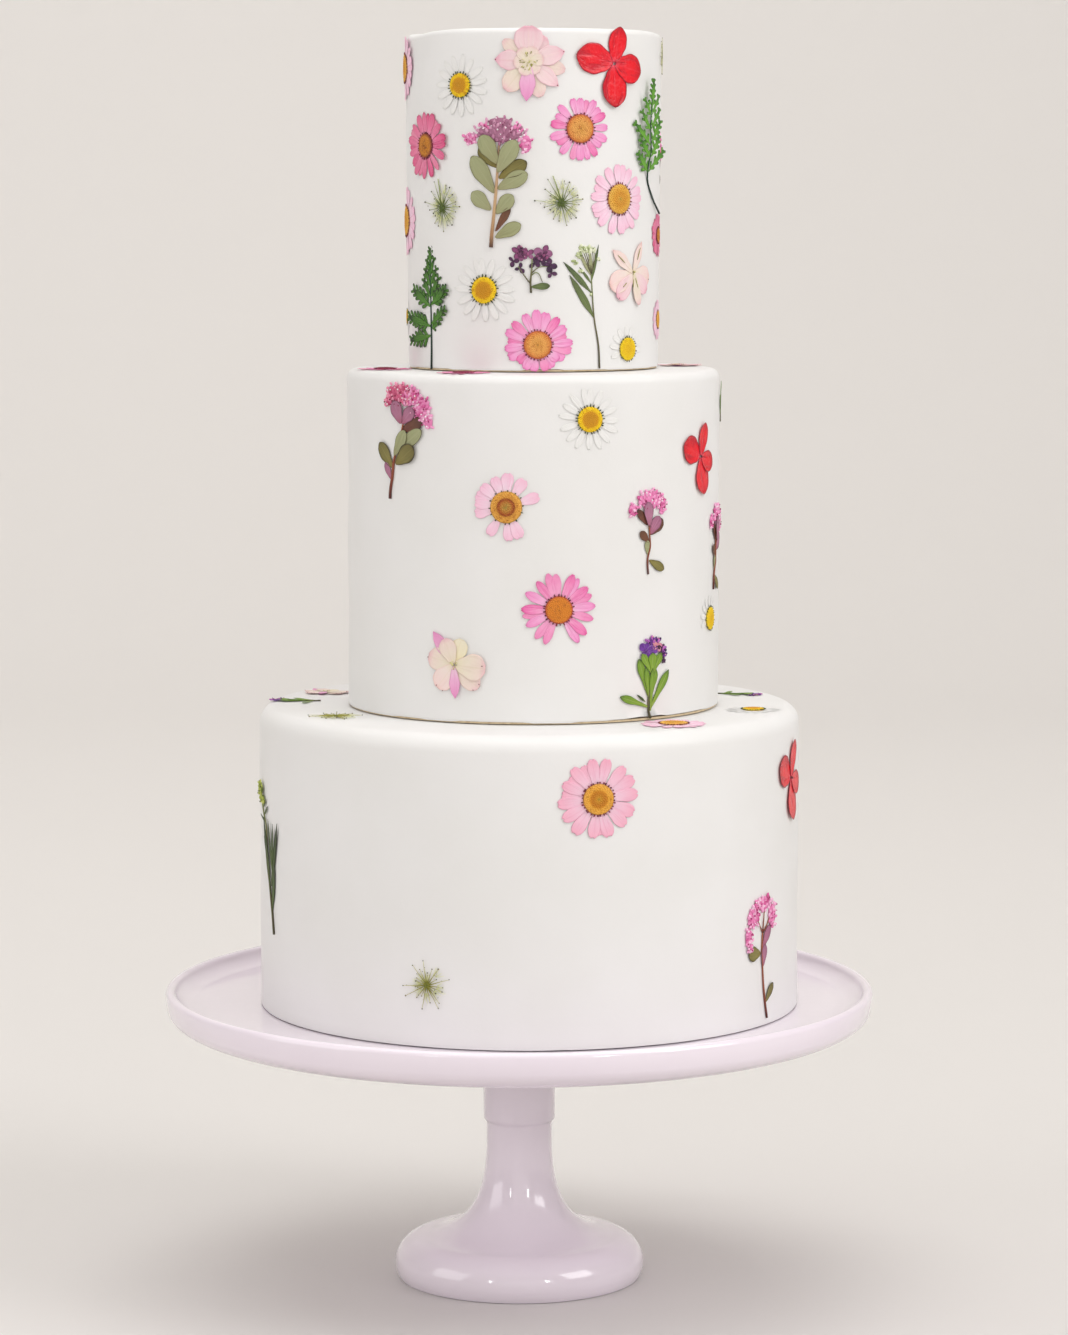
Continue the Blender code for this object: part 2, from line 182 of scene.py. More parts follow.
def times(tree, first, second):
    return addMath(tree, "MULTIPLY", first, second)


def addRange(tree, value, low, high, start=0.0, end=1.0, smooth=True):
    # maps a value that runs from low to high onto start to end
    node = tree.nodes.new("ShaderNodeMapRange")
    node.interpolation_type = "SMOOTHSTEP" if smooth else "LINEAR"
    sources = {"Value": value, "From Min": low, "From Max": high, "To Min": start, "To Max": end}
    for label, source in sources.items():
        feed(tree, node.inputs[label], source)
    return node.outputs[0]


def addNoise(tree, vector, scale, detail):
    noise = tree.nodes.new("ShaderNodeTexNoise")
    for label, source in (("Vector", vector), ("Scale", scale), ("Detail", detail)):
        feed(tree, noise.inputs[label], source)
    return noise.outputs[0]


def sheetUv(tree):
    uv = tree.nodes.new("ShaderNodeUVMap")
    uv.uv_map = "UVMap"
    split = tree.nodes.new("ShaderNodeSeparateXYZ")
    tree.links.new(uv.outputs[0], split.inputs[0])
    return split.outputs[0], split.outputs[1]


def toneNode(tree):
    node = tree.nodes.new("ShaderNodeAttribute")
    node.attribute_name = "tone"
    return node.outputs["Fac"]


def makeSheetGroup():
    # where a point lies on a petal or leaf: along it, near its edge, on its streaks and its middle vein
    group, start, end = newGroup("petalPlace", [("Streaks", 7.0), ("Edge Width", 0.12), ("Vein Width", 0.05)],
                                 ["Along", "Edge", "Streak", "Vein"])
    across, along = sheetUv(group)
    tone = toneNode(group)
    combine = group.nodes.new("ShaderNodeCombineXYZ")
    stretch = (times(group, across, start.outputs["Streaks"]), times(group, along, 1.3),
               times(group, tone, 23.0))
    for socket, value in zip(combine.inputs, stretch):
        group.links.new(value, socket)
    noise = addNoise(group, combine.outputs[0], 1.0, 3.0)
    side = addMath(group, "ABSOLUTE", addMath(group, "SUBTRACT", across, 0.5))
    nearSide = addMath(group, "SUBTRACT", 0.5, side)
    nearTip = times(group, addMath(group, "SUBTRACT", 1.0, along), 1.4)
    nearest = addMath(group, "MINIMUM", nearSide, nearTip)
    results = {"Along": along, "Streak": addRange(group, noise, 0.46, 0.68),
               "Edge": addRange(group, nearest, 0.0, start.outputs["Edge Width"], 1.0, 0.0),
               "Vein": addRange(group, side, 0.0, start.outputs["Vein Width"], 1.0, 0.0)}
    for label, value in results.items():
        group.links.new(value, end.inputs[label])
    return group


def makeGrainGroup():
    # fine unevenness of a dry or rolled surface, in object space
    group, start, end = newGroup("dryGrain", [("Scale", 900.0), ("Detail", 3.0)], ["Value"])
    place = group.nodes.new("ShaderNodeTexCoord")
    noise = addNoise(group, place.outputs["Object"], start.outputs["Scale"], start.outputs["Detail"])
    group.links.new(noise, end.inputs["Value"])
    return group


sheetGroup = makeSheetGroup()
grainGroup = makeGrainGroup()


def newFinish(name, roughness):
    material = bpy.data.materials.new(name)
    material.use_nodes = True
    tree = material.node_tree
    shader = tree.nodes["Principled BSDF"]
    shader.inputs["Roughness"].default_value = roughness
    return material, tree, shader


def useGroup(tree, group, **values):
    node = tree.nodes.new("ShaderNodeGroup")
    node.node_tree = group
    for label, value in values.items():
        node.inputs[label.replace("_", " ")].default_value = value
    return node


def useGrain(tree, scale, detail=3.0):
    return useGroup(tree, grainGroup, Scale=scale, Detail=detail).outputs["Value"]


def addRamp(tree, factor, text):
    # the text holds pairs of place and colour
    stops = [(float(place), code) for place, code in (pair.split() for pair in text.split(", "))]
    ramp = tree.nodes.new("ShaderNodeValToRGB")
    elements = ramp.color_ramp.elements
    elements[0].position, elements[0].color = stops[0][0], paint(stops[0][1])
    elements[1].position, elements[1].color = stops[-1][0], paint(stops[-1][1])
    for position, code in stops[1:-1]:
        elements.new(position).color = paint(code)
    tree.links.new(factor, ramp.inputs[0])
    return ramp.outputs[0]


def mixColours(tree, factor, first, second):
    node = tree.nodes.new("ShaderNodeMix")
    node.data_type = "RGBA"
    for index, value in ((0, factor), (6, first), (7, second)):
        feed(tree, node.inputs[index], value)
    return node.outputs[2]


def addBump(tree, shader, height, distance, strength=1.0):
    bump = tree.nodes.new("ShaderNodeBump")
    bump.inputs["Distance"].default_value = distance
    bump.inputs["Strength"].default_value = strength
    tree.links.new(height, bump.inputs["Height"])
    tree.links.new(bump.outputs[0], shader.inputs["Normal"])


def sheetFinish(name, values):
    # dry petal or leaf: colour along it, darker streaks, edge, vein, and a change from one to the next
    material, tree, shader = newFinish(name, values.get("roughness", 0.55))
    place = useGroup(tree, sheetGroup, Streaks=values.get("streaks", 7.0), Edge_Width=values["edgeWidth"])
    colour = addRamp(tree, place.outputs["Along"], values["along"])
    for label in ("streak", "vein", "edge"):
        if label in values:
            share = times(tree, place.outputs[label.title()], values[label + "Share"])
            colour = mixColours(tree, share, colour, paint(values[label]))
    grain = useGrain(tree, 700.0)
    grainShare = times(tree, addMath(tree, "SUBTRACT", grain, 0.5), 0.9)
    change = times(tree, addMath(tree, "ADD", toneNode(tree), grainShare), values["change"])
    colour = mixColours(tree, change, colour, paint(values["changeTo"]))
    tree.links.new(colour, shader.inputs["Base Color"])
    height = addMath(tree, "MULTIPLY_ADD", place.outputs["Streak"], -0.8, grain)
    addBump(tree, shader, height, values.get("bump", 0.00006))
    shader.inputs["Coat Weight"].default_value = values.get("coat", 0.0)
    return material


def toneFinish(name, stops, roughness=0.6, spots=None):
    # small parts whose colour follows their tone, with fine spots
    material, tree, shader = newFinish(name, roughness)
    colour = addRamp(tree, toneNode(tree), stops)
    grain = useGrain(tree, 900.0)
    if spots:
        colour = mixColours(tree, addRange(tree, grain, 0.52, 0.72, smooth=False), colour, paint(spots))
    tree.links.new(colour, shader.inputs["Base Color"])
    addBump(tree, shader, grain, 0.00005)
    return material


# Finishes of the petals, leaves and small parts

lookKeys = ("along", "streak", "streakShare", "edge", "edgeShare", "edgeWidth", "change", "changeTo")
petalLooks = rowsUnder(lookKeys, {
    "pink": ("0 fbdeee, 0.35 f9c0e2, 0.85 f6a0d2, 1 e674b6", "e472b0", 0.55, "dc60a6", 0.65, 0.08, 0.5,
        "f694cc", {"streaks": 5}),
    "hot": ("0 fbcde2, 0.25 f8a2cd, 0.8 f178b6, 1 e2559e", "e24a9a", 0.6, "d64892", 0.6, 0.08, 0.5, "f9b2d6",
        {"streaks": 5}),
    "pale": ("0 fae6f2, 0.5 fad8ea, 1 f9c4dc", "f6b8d6", 0.4, "f4accb", 0.4, 0.08, 0.35, "fbc8dc"),
    "lavenderPale": ("0 f3d6e6, 0.45 f7c9dc, 1 f8aec6", "ee9fbe", 0.4, "ee9aba", 0.45, 0.08, 0.35, "f9bcd0"),
    "rose": ("0 f29cba, 0.35 ee78a4, 0.9 e25086, 1 bc2460", "c82e6c", 0.6, "bc2f63", 0.65, 0.09, 0.5,
        "f4b2c8", {"streaks": 5}),
    "white": ("0 efeeec, 0.6 f1f0ee, 1 eeedea", "ecebe8", 0.5, "efeeec", 0.4, 0.06, 0.2, "f2f1f0"),
    "blush": ("0 f3e8d6, 0.25 f5dcdd, 0.8 f3cdd6, 1 ea9fb8", "efb9c8", 0.4, "f3b6c8", 0.45, 0.08, 0.3,
        "fbe6e2", {"veinShare": 0.2, "vein": "efcfc0"}),
    "cream": ("0 ece2c2, 0.4 efe4d0, 0.8 f1ddd2, 1 ecbcc4", "e9d6c6", 0.4, "efc9c4", 0.4, 0.08, 0.4,
        "f7dcd8", {"veinShare": 0.2, "vein": "dccfa6"}),
    "peach": ("0 efe2c6, 0.3 f4e2da, 0.85 f5d8d5, 1 f0bcb9", "f1ccc7", 0.4, "f3c0ba", 0.4, 0.08, 0.35,
        "fae9e0", {"veinShare": 0.2, "vein": "e0c9a0"}),
    "lilac": ("0 f8dcea, 0.4 f4b9dc, 1 ea8cc4", "e58fc4", 0.4, "d982b4", 0.4, 0.09, 0.2, "f6c4e0"),
    "butter": ("0 f0e0b0, 0.5 f5ebcb, 1 f3ead2", "ecdcae", 0.4, "e6d6b0", 0.4, 0.12, 0.2, "f8efd8"),
    "red": ("0 ea5064, 0.16 f01026, 0.7 ec061c, 1 c4021c", "b80626", 0.75, "8c0028", 0.95, 0.07, 0.25,
        "f83042", {"veinShare": 0.18, "vein": "fc6272", "roughness": 0.30, "streaks": 4, "bump": 0.0003,
        "coat": 0.06}),
    "plumPetal": ("0 5e2c52, 0.5 93487a, 1 743062", "3e1838", 0.6, "2a0e28", 0.9, 0.14, 0.5, "b0789c",
        {"streaks": 4}),
    "inkPetal": ("0 3a1a36, 0.5 45204a, 1 2a122e", "1e0c20", 0.6, "160818", 0.9, 0.14, 0.4, "6e3a66",
        {"streaks": 4}),
    "violetPetal": ("0 5a2478, 0.5 6c2c9c, 1 4a1c70", "361254", 0.6, "e0c8e6", 0.55, 0.07, 0.4, "8a4ab8",
        {"streaks": 4}),
    "coralPetal": ("0 d67a96, 0.5 e69a9e, 1 c26aa6", "a44a8c", 0.5, "6a2a70", 0.7, 0.10, 0.3, "f0b4a6",
        {"streaks": 4}),
})

leafLooks = rowsUnder(lookKeys, {
    "sage": ("0 9a9468, 0.3 9c9c70, 1 a4a87c", "8a8a60", 0.4, "665f34", 0.85, 0.07, 0.3, "a9ae8a",
        {"veinShare": 0.35, "vein": "b8ba90"}),
    "olive": ("0 7c6c2c, 0.4 837a40, 1 6e6430", "5a5428", 0.45, "2e2614", 0.95, 0.14, 0.3, "99904a",
        {"veinShare": 0.3, "vein": "a09a58"}),
    "plum": ("0 9a4058, 0.4 b06a88, 1 9c5c7c", "8a4866", 0.45, "4e1c34", 0.9, 0.11, 0.35, "b98aa2",
        {"veinShare": 0.35, "vein": "cc92ac"}),
    "maroon": ("0 6a2a26, 0.5 6e4030, 1 4e2a24", "402020", 0.5, "2a100f", 0.85, 0.13, 0.3, "856038"),
    "frond": ("0 4e8622, 0.5 487c1e, 0.78 3c6c18, 0.9 0c1c0c, 1 081208", "2c5c1e", 0.5, "1a3c18", 0.6, 0.12,
        0.3, "5c8c38", {"veinShare": 0.3, "vein": "7aa04c"}),
    "brightFrond": ("0 6eaa38, 0.6 68a432, 0.84 468026, 1 14301a", "3c7c26", 0.5, "2c5c24", 0.7, 0.10, 0.3,
        "76b048"),
    "fresh": ("0 a9ba58, 0.25 86a434, 0.85 729628, 1 2c4416", "5a8a24", 0.5, "3a5c18", 0.85, 0.10, 0.3,
        "94b83e", {"veinShare": 0.5, "vein": "c6d68a"}),
    "blade": ("0 667440, 0.5 5c6e3e, 1 3a4a26", "3e4e2c", 0.55, "2c381e", 0.6, 0.12, 0.3, "7f8b54",
        {"veinShare": 0.45, "vein": "8d9a62"}),
    "darkBlade": ("0 5c6c34, 0.5 3c5222, 1 1f2d14", "223416", 0.6, "1c2a14", 0.7, 0.14, 0.3, "5c7036",
        {"veinShare": 0.5, "vein": "7a8a4c"}),
})

finishes = {}
for label, look in petalLooks.items():
    finishes[label] = sheetFinish(label + "Petal", look)
for label, look in leafLooks.items():
    finishes[label] = sheetFinish(label + "Leaf", look)

toneLooks = {
    "orangeDisc": ("0 8a5a20, 0.09 d99a45, 0.5 ecb05c, 0.78 e69c4c, 0.92 d07338, 1 a8443a",
        {"spots": "c97a34"}),
    "hotDisc": ("0 6a3a12, 0.08 dc8822, 0.8 e08a26, 0.92 cf6a2c, 1 a23a3a", {"spots": "bf6a1c"}),
    "goldDisc": ("0 8f8a2c, 0.12 cf9420, 0.4 c87c10, 0.54 d68c18, 0.64 f0b440, 0.93 ecae48, 1 a8683c",
        {"spots": "c9841c"}),
    "brightDisc": ("0 a09430, 0.12 d9a23c, 0.4 dd9c30, 0.6 e4aa3c, 0.9 ecbc52, 1 b47c48",
        {"spots": "cf8c30"}),
    "ringDisc": ("0 a08c38, 0.25 c4903c, 0.42 b4601e, 0.52 963c12, 0.62 dc9c3c, 0.9 ebb04c, 1 b8883c",
        {"spots": "b8701c"}),
    "brownDisc": ("0 5a3a10, 0.12 c47e24, 0.72 d48e30, 0.9 a85c2c, 1 7c2c34", {"spots": "96501e"}),
    "wineDisc": ("0 5a1428, 0.6 7c2038, 1 9a3050", {}),
    "yellowDisc": ("0 e2b030, 0.08 cc900a, 0.58 d99a06, 0.7 f2c808, 0.93 fbd80a, 1 d2b418",
        {"spots": "cf8f08"}),
    "lemonDisc": ("0 e8bc14, 0.5 efc810, 0.93 f6d610, 1 cdb428", {"spots": "e0b010"}),
    "darkSpeck": ("0 4a1420, 1 8a2c40", {}),
    "greenSpeck": ("0 26341a, 1 4c5c3a", {}),
    "rayGreen": ("0 3c4e16, 0.35 6c7c34, 1 b4bc86", {}),
    "rayGold": ("0 5c6414, 0.35 a09c3c, 1 c8c488", {}),
    "rayPale": ("0 d6d99c, 0.5 e6e8c4, 1 f2f2de", {}),
    "rayTip": ("0 7c7048, 0.5 55522c, 1 33341a", {}),
    "stamen": ("0 e6dfa4, 0.5 c0b866, 1 80803a", {}),
    "woodyStem": ("0 4a1c1c, 0.25 8a4630, 1 a8603c", {}),
    "tanStem": ("0 4a2a20, 0.12 a8805c, 0.4 c9a67c, 1 b89478", {}),
    "greenStem": ("0 4c4630, 0.5 6e6a46, 1 84905c", {}),
    "darkStem": ("0 10201a, 0.5 1c3e30, 1 2c5a30", {}),
    # tone 0 of each floret ramp is the pale colour of the painted highlight dots on the flower heads
    "pinkFloret": ("0 fdf2f7, 0.1 fbc8e4, 0.4 f296c8, 0.7 dc64a2, 0.9 b42c70, 1 7a1648", {"roughness": 0.5}),
    "roseFloret": ("0 fdf2f5, 0.1 f4a4c0, 0.4 de6c92, 0.7 c8507a, 0.9 9c2450, 1 5e1430", {"roughness": 0.5}),
    "mauveFloret": ("0 fdf6f8, 0.1 e2a8c6, 0.38 b87898, 0.66 a26c88, 0.88 8c3c62, 1 5e1a3c",
        {"roughness": 0.5}),
    "violetFloret": ("0 e6a8b0, 0.15 c26ac0, 0.45 7a349c, 0.75 4a1c68, 1 241030", {"roughness": 0.5}),
    "darkFloret": ("0 c88aa8, 0.15 9a4c7a, 0.45 642c54, 0.75 421a3c, 1 1e0c1e", {"roughness": 0.5}),
    "greenFloret": ("0 f2f2e0, 0.4 d4dcb0, 0.75 9caa70, 1 6c7a48", {}),
    "oliveBud": ("0 d4d878, 0.45 98a840, 0.8 5c6c28, 1 2c3414", {}),
}
for label, (stops, extras) in toneLooks.items():
    finishes[label] = toneFinish(label, stops, **extras)


# Petals and leaves, modelled flat: base at the origin, tip towards +Y, face towards +Z

# in millimetres; the notch and the outline are shares of the length and the width
sheetKeys = ("length", "width", "rows", "columns", "notch", "teeth", "groove", "lift", "cup", "outline")
sheetShapes = rowsUnder(sheetKeys, {
    "daisyPetal": (9.6, 4, 9, 6, 0.07, (0,), 0.08, 0.16, -0.04, [(0, 0.34), (0.3, 0.70), (0.66, 1),
        (0.88, 0.84), (0.97, 0.55), (1, 0.34)]),
    "toothPetal": (9.6, 4.2, 9, 6, 0.06, (-1, 1), 0.08, 0.16, -0.03, [(0, 0.34), (0.3, 0.68), (0.7, 1),
        (0.90, 0.86), (1, 0.40)]),
    "slimPetal": (9.6, 3.3, 9, 6, 0.05, (0,), 0.10, 0.25, 0.02, [(0, 0.40), (0.3, 0.80), (0.66, 1),
        (0.88, 0.72), (1, 0.18)]),
    "whitePetal": (7.4, 3.2, 7, 4, 0.04, (0,), 0.03, 0.05, 0, [(0, 0.4), (0.4, 0.9), (0.7, 1), (0.92, 0.7),
        (1, 0.3)]),
    "shellPetal": (12.5, 8.4, 11, 8, 0.02, (-2, 1), 0.07, 0.28, 0.06, [(0, 0.22), (0.2, 0.60), (0.55, 1),
        (0.78, 0.95), (0.94, 0.62), (1, 0.26)]),
    "pointPetal": (12.5, 8.4, 11, 8, -0.03, (0,), 0.07, 0.30, 0.08, [(0, 0.20), (0.25, 0.66), (0.55, 1),
        (0.8, 0.72), (1, 0.06)]),
    "floretPetal": (12.5, 9, 11, 8, -0.02, (0,), 0.08, 0.50, 0.14, [(0, 0.20), (0.2, 0.66), (0.5, 1),
        (0.75, 0.92), (0.93, 0.54), (1, 0.16)]),
    "ovalLeaf": (10, 6, 9, 6, -0.01, (0,), 0.05, 0.22, 0.08, [(0, 0.14), (0.2, 0.56), (0.6, 1), (0.85, 0.84),
        (0.96, 0.50), (1, 0.18)]),
    "spoonLeaf": (12, 3, 9, 4, -0.02, (0,), 0.04, 0.22, 0.06, [(0, 0.25), (0.35, 0.50), (0.72, 1),
        (0.90, 0.74), (1, 0.14)]),
    "bladeLeaf": (16, 2.1, 10, 4, -0.02, (0,), 0.04, 0.22, 0.04, [(0, 0.22), (0.4, 1), (0.75, 0.75),
        (1, 0.08)]),
    "lobe": (3.6, 1.7, 5, 4, -0.02, (0,), 0.02, 0.06, 0.02, [(0, 0.45), (0.5, 0.86), (0.8, 1), (1, 0.62)]),
})
sheetThickness = 0.11 * mm


def modelSheet(name):
    shape = sheetShapes[name]
    selectOnly(None)
    bpy.ops.mesh.primitive_grid_add(x_subdivisions=shape["columns"], y_subdivisions=shape["rows"], size=1)
    sheet = bpy.context.object
    sheet.name = name
    length = shape["length"] * mm
    width = shape["width"] * mm
    wide = shape["columns"] + 1
    startEdit(sheet, everything=True)
    bpy.ops.transform.translate(value=(0, 0.5, 0))
    bpy.ops.transform.resize(value=(width, length, 1), center_override=(0, 0, 0))
    for row in range(shape["rows"] + 1):
        share = row / shape["rows"]
        pickVerts(sheet, lambda vert: vert.index // wide == row)
        narrow = between(shape["outline"], share)
        bpy.ops.transform.resize(value=(narrow, 1, 1), center_override=(0, share * length, 0))
        bpy.ops.transform.translate(value=(0, 0, shape["lift"] * mm * share ** 2))
    middle = shape["columns"] // 2
    tipRow = shape["rows"]
    teeth = [middle + step for step in shape["teeth"]]
    pickVerts(sheet, lambda vert: vert.index // wide == tipRow and vert.index % wide in teeth)
    bpy.ops.transform.translate(value=(0, -shape["notch"] * length, 0))
    grooves = (middle - 1, middle + 1)
    pickVerts(sheet, lambda vert: vert.index % wide in grooves and 0 < vert.index // wide < tipRow)
    bpy.ops.transform.translate(value=(0, 0, -shape["groove"] * mm))
    pickVerts(sheet, lambda vert: vert.index % wide in (0, wide - 1) and 0 < vert.index // wide < tipRow)
    bpy.ops.transform.translate(value=(0, 0, shape["cup"] * mm))
    endEdit()
    smooth = sheet.modifiers.new("smooth", "SUBSURF")
    smooth.levels = smooth.render_levels = 1
    thick = sheet.modifiers.new("thick", "SOLIDIFY")
    thick.thickness = sheetThickness
    thick.offset = 1.0
    applyModifiers(sheet)
    bpy.ops.object.shade_smooth()
    scraps.append(sheet)
    return sheet


sheets = {name: modelSheet(name) for name in sheetShapes}
print("petals and leaves modelled:", len(sheets))


def sheetIn(shape, finish):
    # a copy of a petal or leaf in a finish, kept for further copies
    name = shape + "_" + finish
    found = bpy.data.objects.get(name)
    if found:
        return found
    piece = copyOf(sheets[shape], Matrix.Identity(4))
    piece.name = name
    piece.data.materials.clear()
    piece.data.materials.append(finishes[finish])
    scraps.append(piece)
    return piece


def laySheet(form, finish, start, tip, width, layer, tone, tilt=0.0):
    # a petal or leaf from its foot to its tip, in millimetres
    full = sheetShapes[form]
    across, up = tip[0] - start[0], tip[1] - start[1]
    scale = math.hypot(across, up) / full["length"]
    return copyOf(sheetIn(form, finish), placed(start[0] * mm, start[1] * mm, layer * mm,
                                                -math.atan2(across, up), scale, math.radians(tilt),
                                                width / (full["width"] * scale)), tone)


# Small repeated parts: a bead and a stem

def modelBead(finish, faces=1):
    name = f"bead_{finish}_{faces}"
    found = bpy.data.objects.get(name)
    if found:
        return found
    selectOnly(None)
    bpy.ops.mesh.primitive_ico_sphere_add(subdivisions=faces, radius=1)
    bead = bpy.context.object
    bead.name = name
    startEdit(bead, everything=True)
    bpy.ops.transform.resize(value=(1, 1, 0.7), center_override=(0, 0, 0))
    endEdit()
    bpy.ops.object.shade_smooth()
    bead.data.materials.append(finishes[finish])
    scraps.append(bead)
    return bead


def layBead(bead, x, y, z, width, length=None, turn=0.0, tone=0.5):
    # a bead in millimetres: width across, length along its turn
    long = length or width
    move = (Matrix.Translation((x * mm, y * mm, z * mm)) @ Matrix.Rotation(turn, 4, "Z")
            @ Matrix.Diagonal((width * mm / 2, long * mm / 2, width * mm / 2, 1)))
    return copyOf(bead, move, tone)


def modelStem(points, thickness, finish, taper=0.45, height=0.28):
    # a tapering tube through the points
    selectOnly(None)
    bpy.ops.curve.primitive_bezier_curve_add()
    stem = bpy.context.object
    spline = stem.data.splines[0]
    spline.bezier_points.add(len(points) - 2)
    for index, (knot, point) in enumerate(zip(spline.bezier_points, points)):
        knot.co = (point[0] * mm, point[1] * mm, height * mm)
        knot.handle_left_type = knot.handle_right_type = "AUTO"
        knot.radius = 1.0 - taper * index / (len(points) - 1)
    stem.data.bevel_depth = thickness * mm / 2
    stem.data.bevel_resolution = 1
    stem.data.resolution_u = 5
    stem.data.use_fill_caps = True
    bpy.ops.object.convert(target="MESH")
    stem = bpy.context.object
    stem.data.materials.clear()
    stem.data.materials.append(finishes[finish])
    low = min(v.co.y for v in stem.data.vertices)
    length = max(v.co.y for v in stem.data.vertices) - low
    setTones(stem, [(v.co.y - low) / length for v in stem.data.vertices])
    return stem


# Flower discs and daisies

def modelDisc(shape, rng):
    # a low dome with a dimple, set with tiny florets, and fine ticks round its edge
    radius = shape["discRadius"]
    height = 0.9
    skirt = 0.5
    selectOnly(None)
    bpy.ops.mesh.primitive_uv_sphere_add(segments=28, ring_count=12, radius=radius * mm)
    dome = bpy.context.object
    startEdit(dome, everything=True)
    bpy.ops.mesh.bisect(plane_co=(0, 0, 0), plane_no=(0, 0, 1), clear_inner=True, use_fill=True)
    bpy.ops.mesh.select_all(action="SELECT")
    bpy.ops.transform.resize(value=(1, 1, height * 0.5 / radius), center_override=(0, 0, 0))
    pickVerts(dome, lambda vert: vert.co.z < 0.01 * mm)
    bpy.ops.mesh.extrude_region_move(TRANSFORM_OT_translate={"value": (0, 0, -skirt * mm)})
    bpy.ops.mesh.select_all(action="SELECT")
    bpy.ops.transform.translate(value=(0, 0, skirt * mm))
    endEdit()
    bpy.ops.object.shade_smooth()
    dome.data.materials.append(finishes[shape["disc"]])
    bead = modelBead(shape["disc"])
    parts = [dome]
    florets = 150
    size = radius * 1.8 / math.sqrt(florets)
    for index in range(florets):
        share = math.sqrt((index + 0.5) / florets)
        angle = index * math.pi * (3 - math.sqrt(5))
        dimple = 0.10 * math.exp(-(share / 0.15) ** 2)
        rise = skirt + height * (0.45 * math.sqrt(max(0.0, 1 - share ** 2)) - dimple)
        parts.append(layBead(bead, *around(angle, share * radius * 0.96), rise,
                             size * rng.uniform(0.85, 1.1)))
    disc = joinAll(parts, "disc")
    setTones(disc, [min(1.0, v.co.xy.length / (radius * mm)) for v in disc.data.vertices])
    parts = [disc]
    tick = modelBead(shape["tick"])
    for index in range(shape["ticks"]):
        angle = 2 * math.pi * (index + rng.uniform(-0.25, 0.25)) / shape["ticks"]
        parts.append(layBead(tick, *around(angle, radius * rng.uniform(1.02, 1.08)), skirt + 0.1,
                             rng.uniform(0.5, 0.8), shape["tickLength"] * rng.uniform(0.8, 1.6),
                             angle - math.pi / 2, rng.random()))
    return joinAll(parts, "disc")


# lengths in millimetres; headings are the petals' directions, clockwise from straight up
daisyKeys = ("size", "discRadius", "disc", "tick", "ticks", "tickLength", "sheets", "finishes",
             "seed", "headings")
daisyShapes = rowsUnder(daisyKeys, {
    "pinkDaisyA": (26.5, 6, "orangeDisc", "darkSpeck", 26, 0.9, ["daisyPetal", "toothPetal"], ["pink",
        "pink", "hot"], 3, [-13, 7, 35, 66, 92, 114, 150, 169, 185, 199, 224, 260, 286, 322],
        {"wide": 0.86}),
    "pinkDaisyB": (28, 5.7, "orangeDisc", "darkSpeck", 28, 0.8, ["toothPetal", "daisyPetal"], ["pink", "hot",
        "pink"], 8, [-2, 17, 38, 60, 87, 100, 127, 147, 164, 188, 210, 231, 262, 294, 313, 336],
        {"wide": 1}),
    "pinkDaisyC": (28, 5.7, "orangeDisc", "darkSpeck", 28, 0.8, ["toothPetal", "daisyPetal"], ["pink", "hot",
        "pink"], 8, [-2, 17, 38, 60, 87, 100, 127, 147, 164, 188, 210, 231, 262, 294, 313, 336], {"wide": 1,
        "cut": (120, 240, 0.78)}),
    "hotDaisy": (30, 5.5, "hotDisc", "darkSpeck", 26, 0.9, ["slimPetal"], ["hot", "hot", "pink"], 15, [-8, 3,
        -26, 31, 42, 62, 77, 94, 118, 143, 159, 211, 228, 254, 269, 281, 307], {"wide": 1.12, "gaps": True}),
    "wineDaisy": (27, 5, "wineDisc", "darkSpeck", 20, 0.8, ["slimPetal"], ["rose", "hot"], 16,
        list(range(0, 360, 24))),
    "paleDaisyA": (29, 6.2, "brightDisc", "darkSpeck", 30, 0.9, ["daisyPetal", "toothPetal"], ["pale"], 21,
        [-2, 12, 32, 56, 76, 92, 125, 148, 176, 202, 228, 243, 255, 276, 309, 333], {"wide": 0.98}),
    "paleDaisyB": (27.4, 6.5, "ringDisc", "greenSpeck", 14, 0.7, ["toothPetal"], ["pale"], 27, [-19, 6, 38,
        77, 159, 180, 218, 262, 280, 297, 316], {"wide": 1.12, "gaps": True}),
    "paleDaisyC": (29, 5.6, "goldDisc", "darkSpeck", 32, 0.7, ["toothPetal", "daisyPetal"], ["lavenderPale"],
        24, [-4, 20, 46, 68, 92, 118, 142, 168, 196, 222, 248, 270, 298, 326], {"wide": 1.12}),
    "roseDaisy": (27.5, 4.9, "brownDisc", "darkSpeck", 24, 0.8, ["slimPetal", "daisyPetal"], ["rose"], 33,
        [2, 32, 60, 83, 98, 121, 147, 170, 196, 225, 263, 290, 320, 343], {"wide": 0.98}),
    "whiteDaisyA": (23, 5.5, "yellowDisc", "greenSpeck", 25, 1.4, ["whitePetal"], ["white"], 41,
        list(range(0, 360, 23)), {"wide": 0.9, "flat": 0.1, "reach": 1.17, "gaps": True}),
    "whiteDaisyB": (23, 5.2, "yellowDisc", "greenSpeck", 26, 1.3, ["whitePetal"], ["white"], 47,
        list(range(8, 368, 24)), {"wide": 0.9, "flat": 0.1, "reach": 1.17, "gaps": True}),
    "whiteDaisyC": (23, 5.5, "lemonDisc", "greenSpeck", 24, 0.9, ["whitePetal"], ["white"], 52,
        list(range(-100, 101, 25)), {"wide": 0.9, "flat": 0.1, "gaps": True}),
})
underGap = 26             # degrees between petals that leave room for another one beneath


